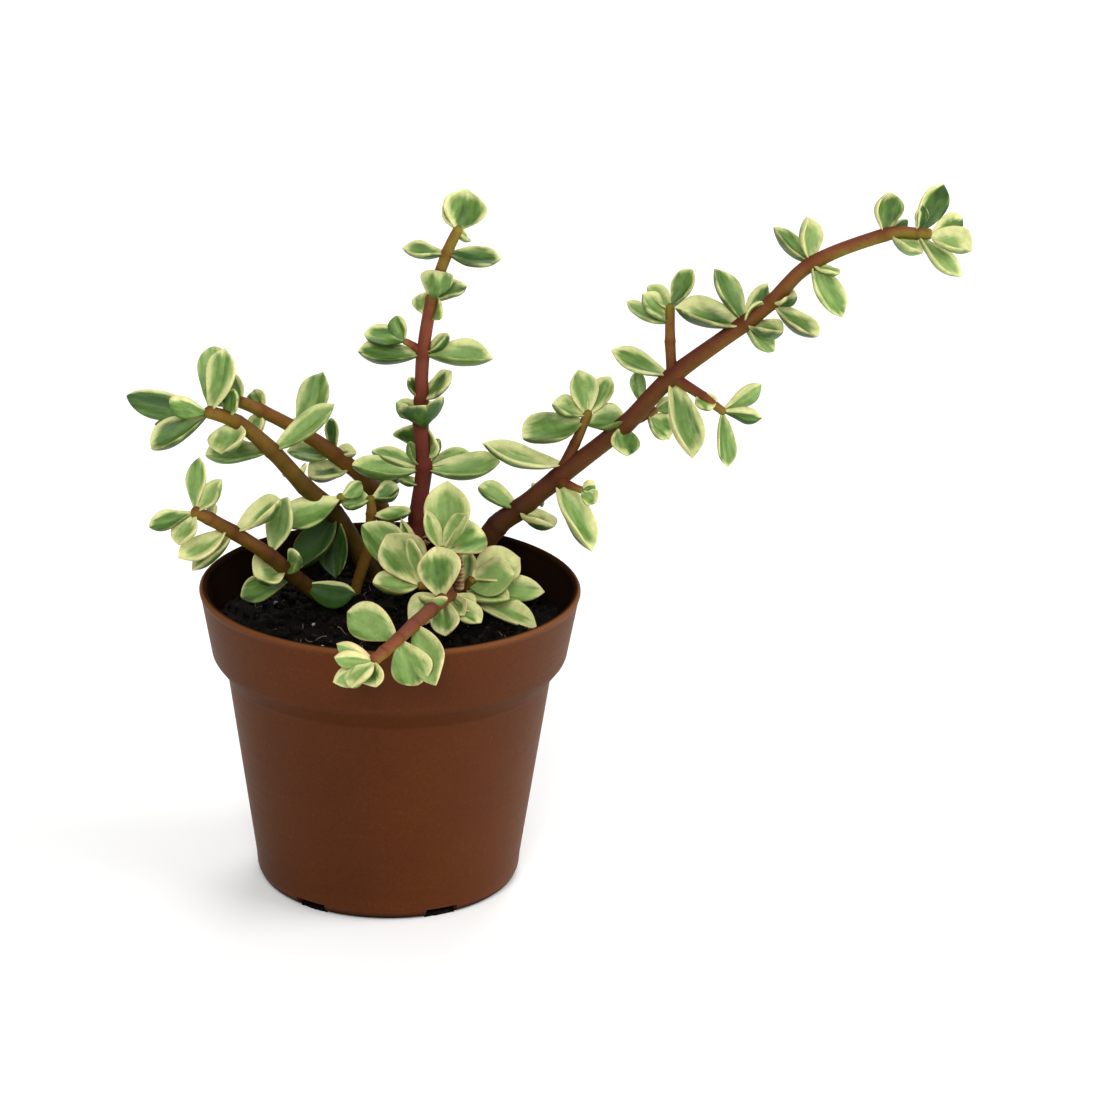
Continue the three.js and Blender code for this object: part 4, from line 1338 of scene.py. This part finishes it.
def makeLumps(name, spots, draw, sunk, rough):
    # small knobbly lumps lying on the soil
    parts = []
    ball = bmesh.new()
    bmesh.ops.create_icosphere(ball, subdivisions=2, radius=1)
    ballVerts = [vert.co.copy() for vert in ball.verts]
    ballFaces = [tuple(vert.index for vert in face.verts) for face in ball.faces]
    ball.free()
    for x, y, size in spots:
        centre = Vector((x, y, soil["top"] + lumps(x, y) + size * (1 - sunk) * 0.5))
        level, tipped = draw.uniform(0, 6.28), draw.uniform(0, 6.28)
        spin = Matrix.Rotation(level, 3, "Z") @ Matrix.Rotation(tipped, 3, "X")
        stretch = Vector((draw.uniform(0.7, 1.3), draw.uniform(0.6, 1.0), draw.uniform(0.5, 0.8)))
        seed = draw.uniform(0, 99)
        verts = []
        for vert in ballVerts:
            bulge = 1 + rough * noise.noise(vert * 1.6 + Vector((seed, 0, 0)))
            spot = spin @ Vector(a * b for a, b in zip(vert * bulge, stretch))
            verts.append((centre + spot * size * 0.7) * mm)
        parts.append((verts, ballFaces))
    return addPiece(name, *joinParts(parts), "soil", [])


soilLook = {
    "colours": [(0.3, (0.0015, 0.0013, 0.001)), (0.58, (0.004, 0.003, 0.002)),
                (0.75, (0.018, 0.013, 0.008))],
    "dust": (0.06, 0.05, 0.035),
    "roughness": (0.7, 1.0),
    "specular": 0.05,
    "bump": 0.8,
    "grainColours": [(0.3, (0.12, 0.11, 0.1)), (0.7, (0.42, 0.41, 0.38))],
    "grainRoughness": 0.85,
    "grainBump": 0.6,
}


def makeSoilMaterial():
    material, tree, shader = newMaterial("potting_soil")
    solid = node(tree, "ShaderNodeTexCoord").outputs["Object"]
    look = soilLook
    grain = addGrain(tree, solid, 500.0, 2600.0)
    colour = ramp(tree, grain["Mask"], look["colours"])
    colour = addDust(tree, solid, colour, 650.0, 0.3, 0.3, look["dust"])
    tree.links.new(colour, shader.inputs["Base Color"])
    addRoughness(tree, shader, grain["Mask"], look["roughness"])
    shader.inputs["Specular IOR Level"].default_value = look["specular"]
    addRelief(tree, shader, grain["Height"], look["bump"], 0.5)
    return material


def makeGrainMaterial():
    material, tree, shader = newMaterial("pale_grain")
    solid = node(tree, "ShaderNodeTexCoord").outputs["Object"]
    grain = addGrain(tree, solid, 900.0, 4000.0)
    tree.links.new(ramp(tree, grain["Mask"], soilLook["grainColours"]), shader.inputs["Base Color"])
    shader.inputs["Roughness"].default_value = soilLook["grainRoughness"]
    addRelief(tree, shader, grain["Height"], soilLook["grainBump"], 0.4)
    return material


makeSoil()


# Floor, light and surroundings
studio = {
    "floorSize": 8.0,
    "floorColour": (0.86, 0.86, 0.85),
    "sky": (1.0, 1.0, 1.0),
    "skyStrength": 0.55,
    "lights": [
        ("key", (-0.4, -2.1, 1.7), 1.4, 50.0),
        ("side", (2.3, -0.5, 1.0), 2.4, 68.0),
        ("back", (0.4, 1.8, 2.0), 1.4, 28.0),
    ],
    "aim": (0.0, 0.0, 0.07),
}


def makeStudio():
    half = studio["floorSize"] / 2
    mesh = bpy.data.meshes.new("floor")
    corners = [(-half, -half, 0), (half, -half, 0), (half, half, 0), (-half, half, 0)]
    mesh.from_pydata(corners, [], [(0, 1, 2, 3)])
    floor = bpy.data.objects.new("floor", mesh)
    bpy.context.scene.collection.objects.link(floor)
    material, tree, shader = newMaterial("pale_floor")
    shader.inputs["Base Color"].default_value = (*studio["floorColour"], 1)
    shader.inputs["Roughness"].default_value = 0.9
    mesh.materials.append(material)
    for name, place, size, power in studio["lights"]:
        lamp = bpy.data.lights.new(name, "AREA")
        lamp.shape = "DISK"
        lamp.size = size
        lamp.energy = power
        light = bpy.data.objects.new(name, lamp)
        light.location = place
        light.rotation_euler = (Vector(studio["aim"]) - Vector(place)).to_track_quat("-Z", "Y").to_euler()
        bpy.context.scene.collection.objects.link(light)
    world = bpy.data.worlds.new("sky")
    world.use_nodes = True
    sky = world.node_tree.nodes["Background"]
    sky.inputs[0].default_value = (*studio["sky"], 1)
    sky.inputs[1].default_value = studio["skyStrength"]
    bpy.context.scene.world = world
    bpy.context.scene.view_settings.view_transform = "Standard"
    print("studio made")


makeStudio()
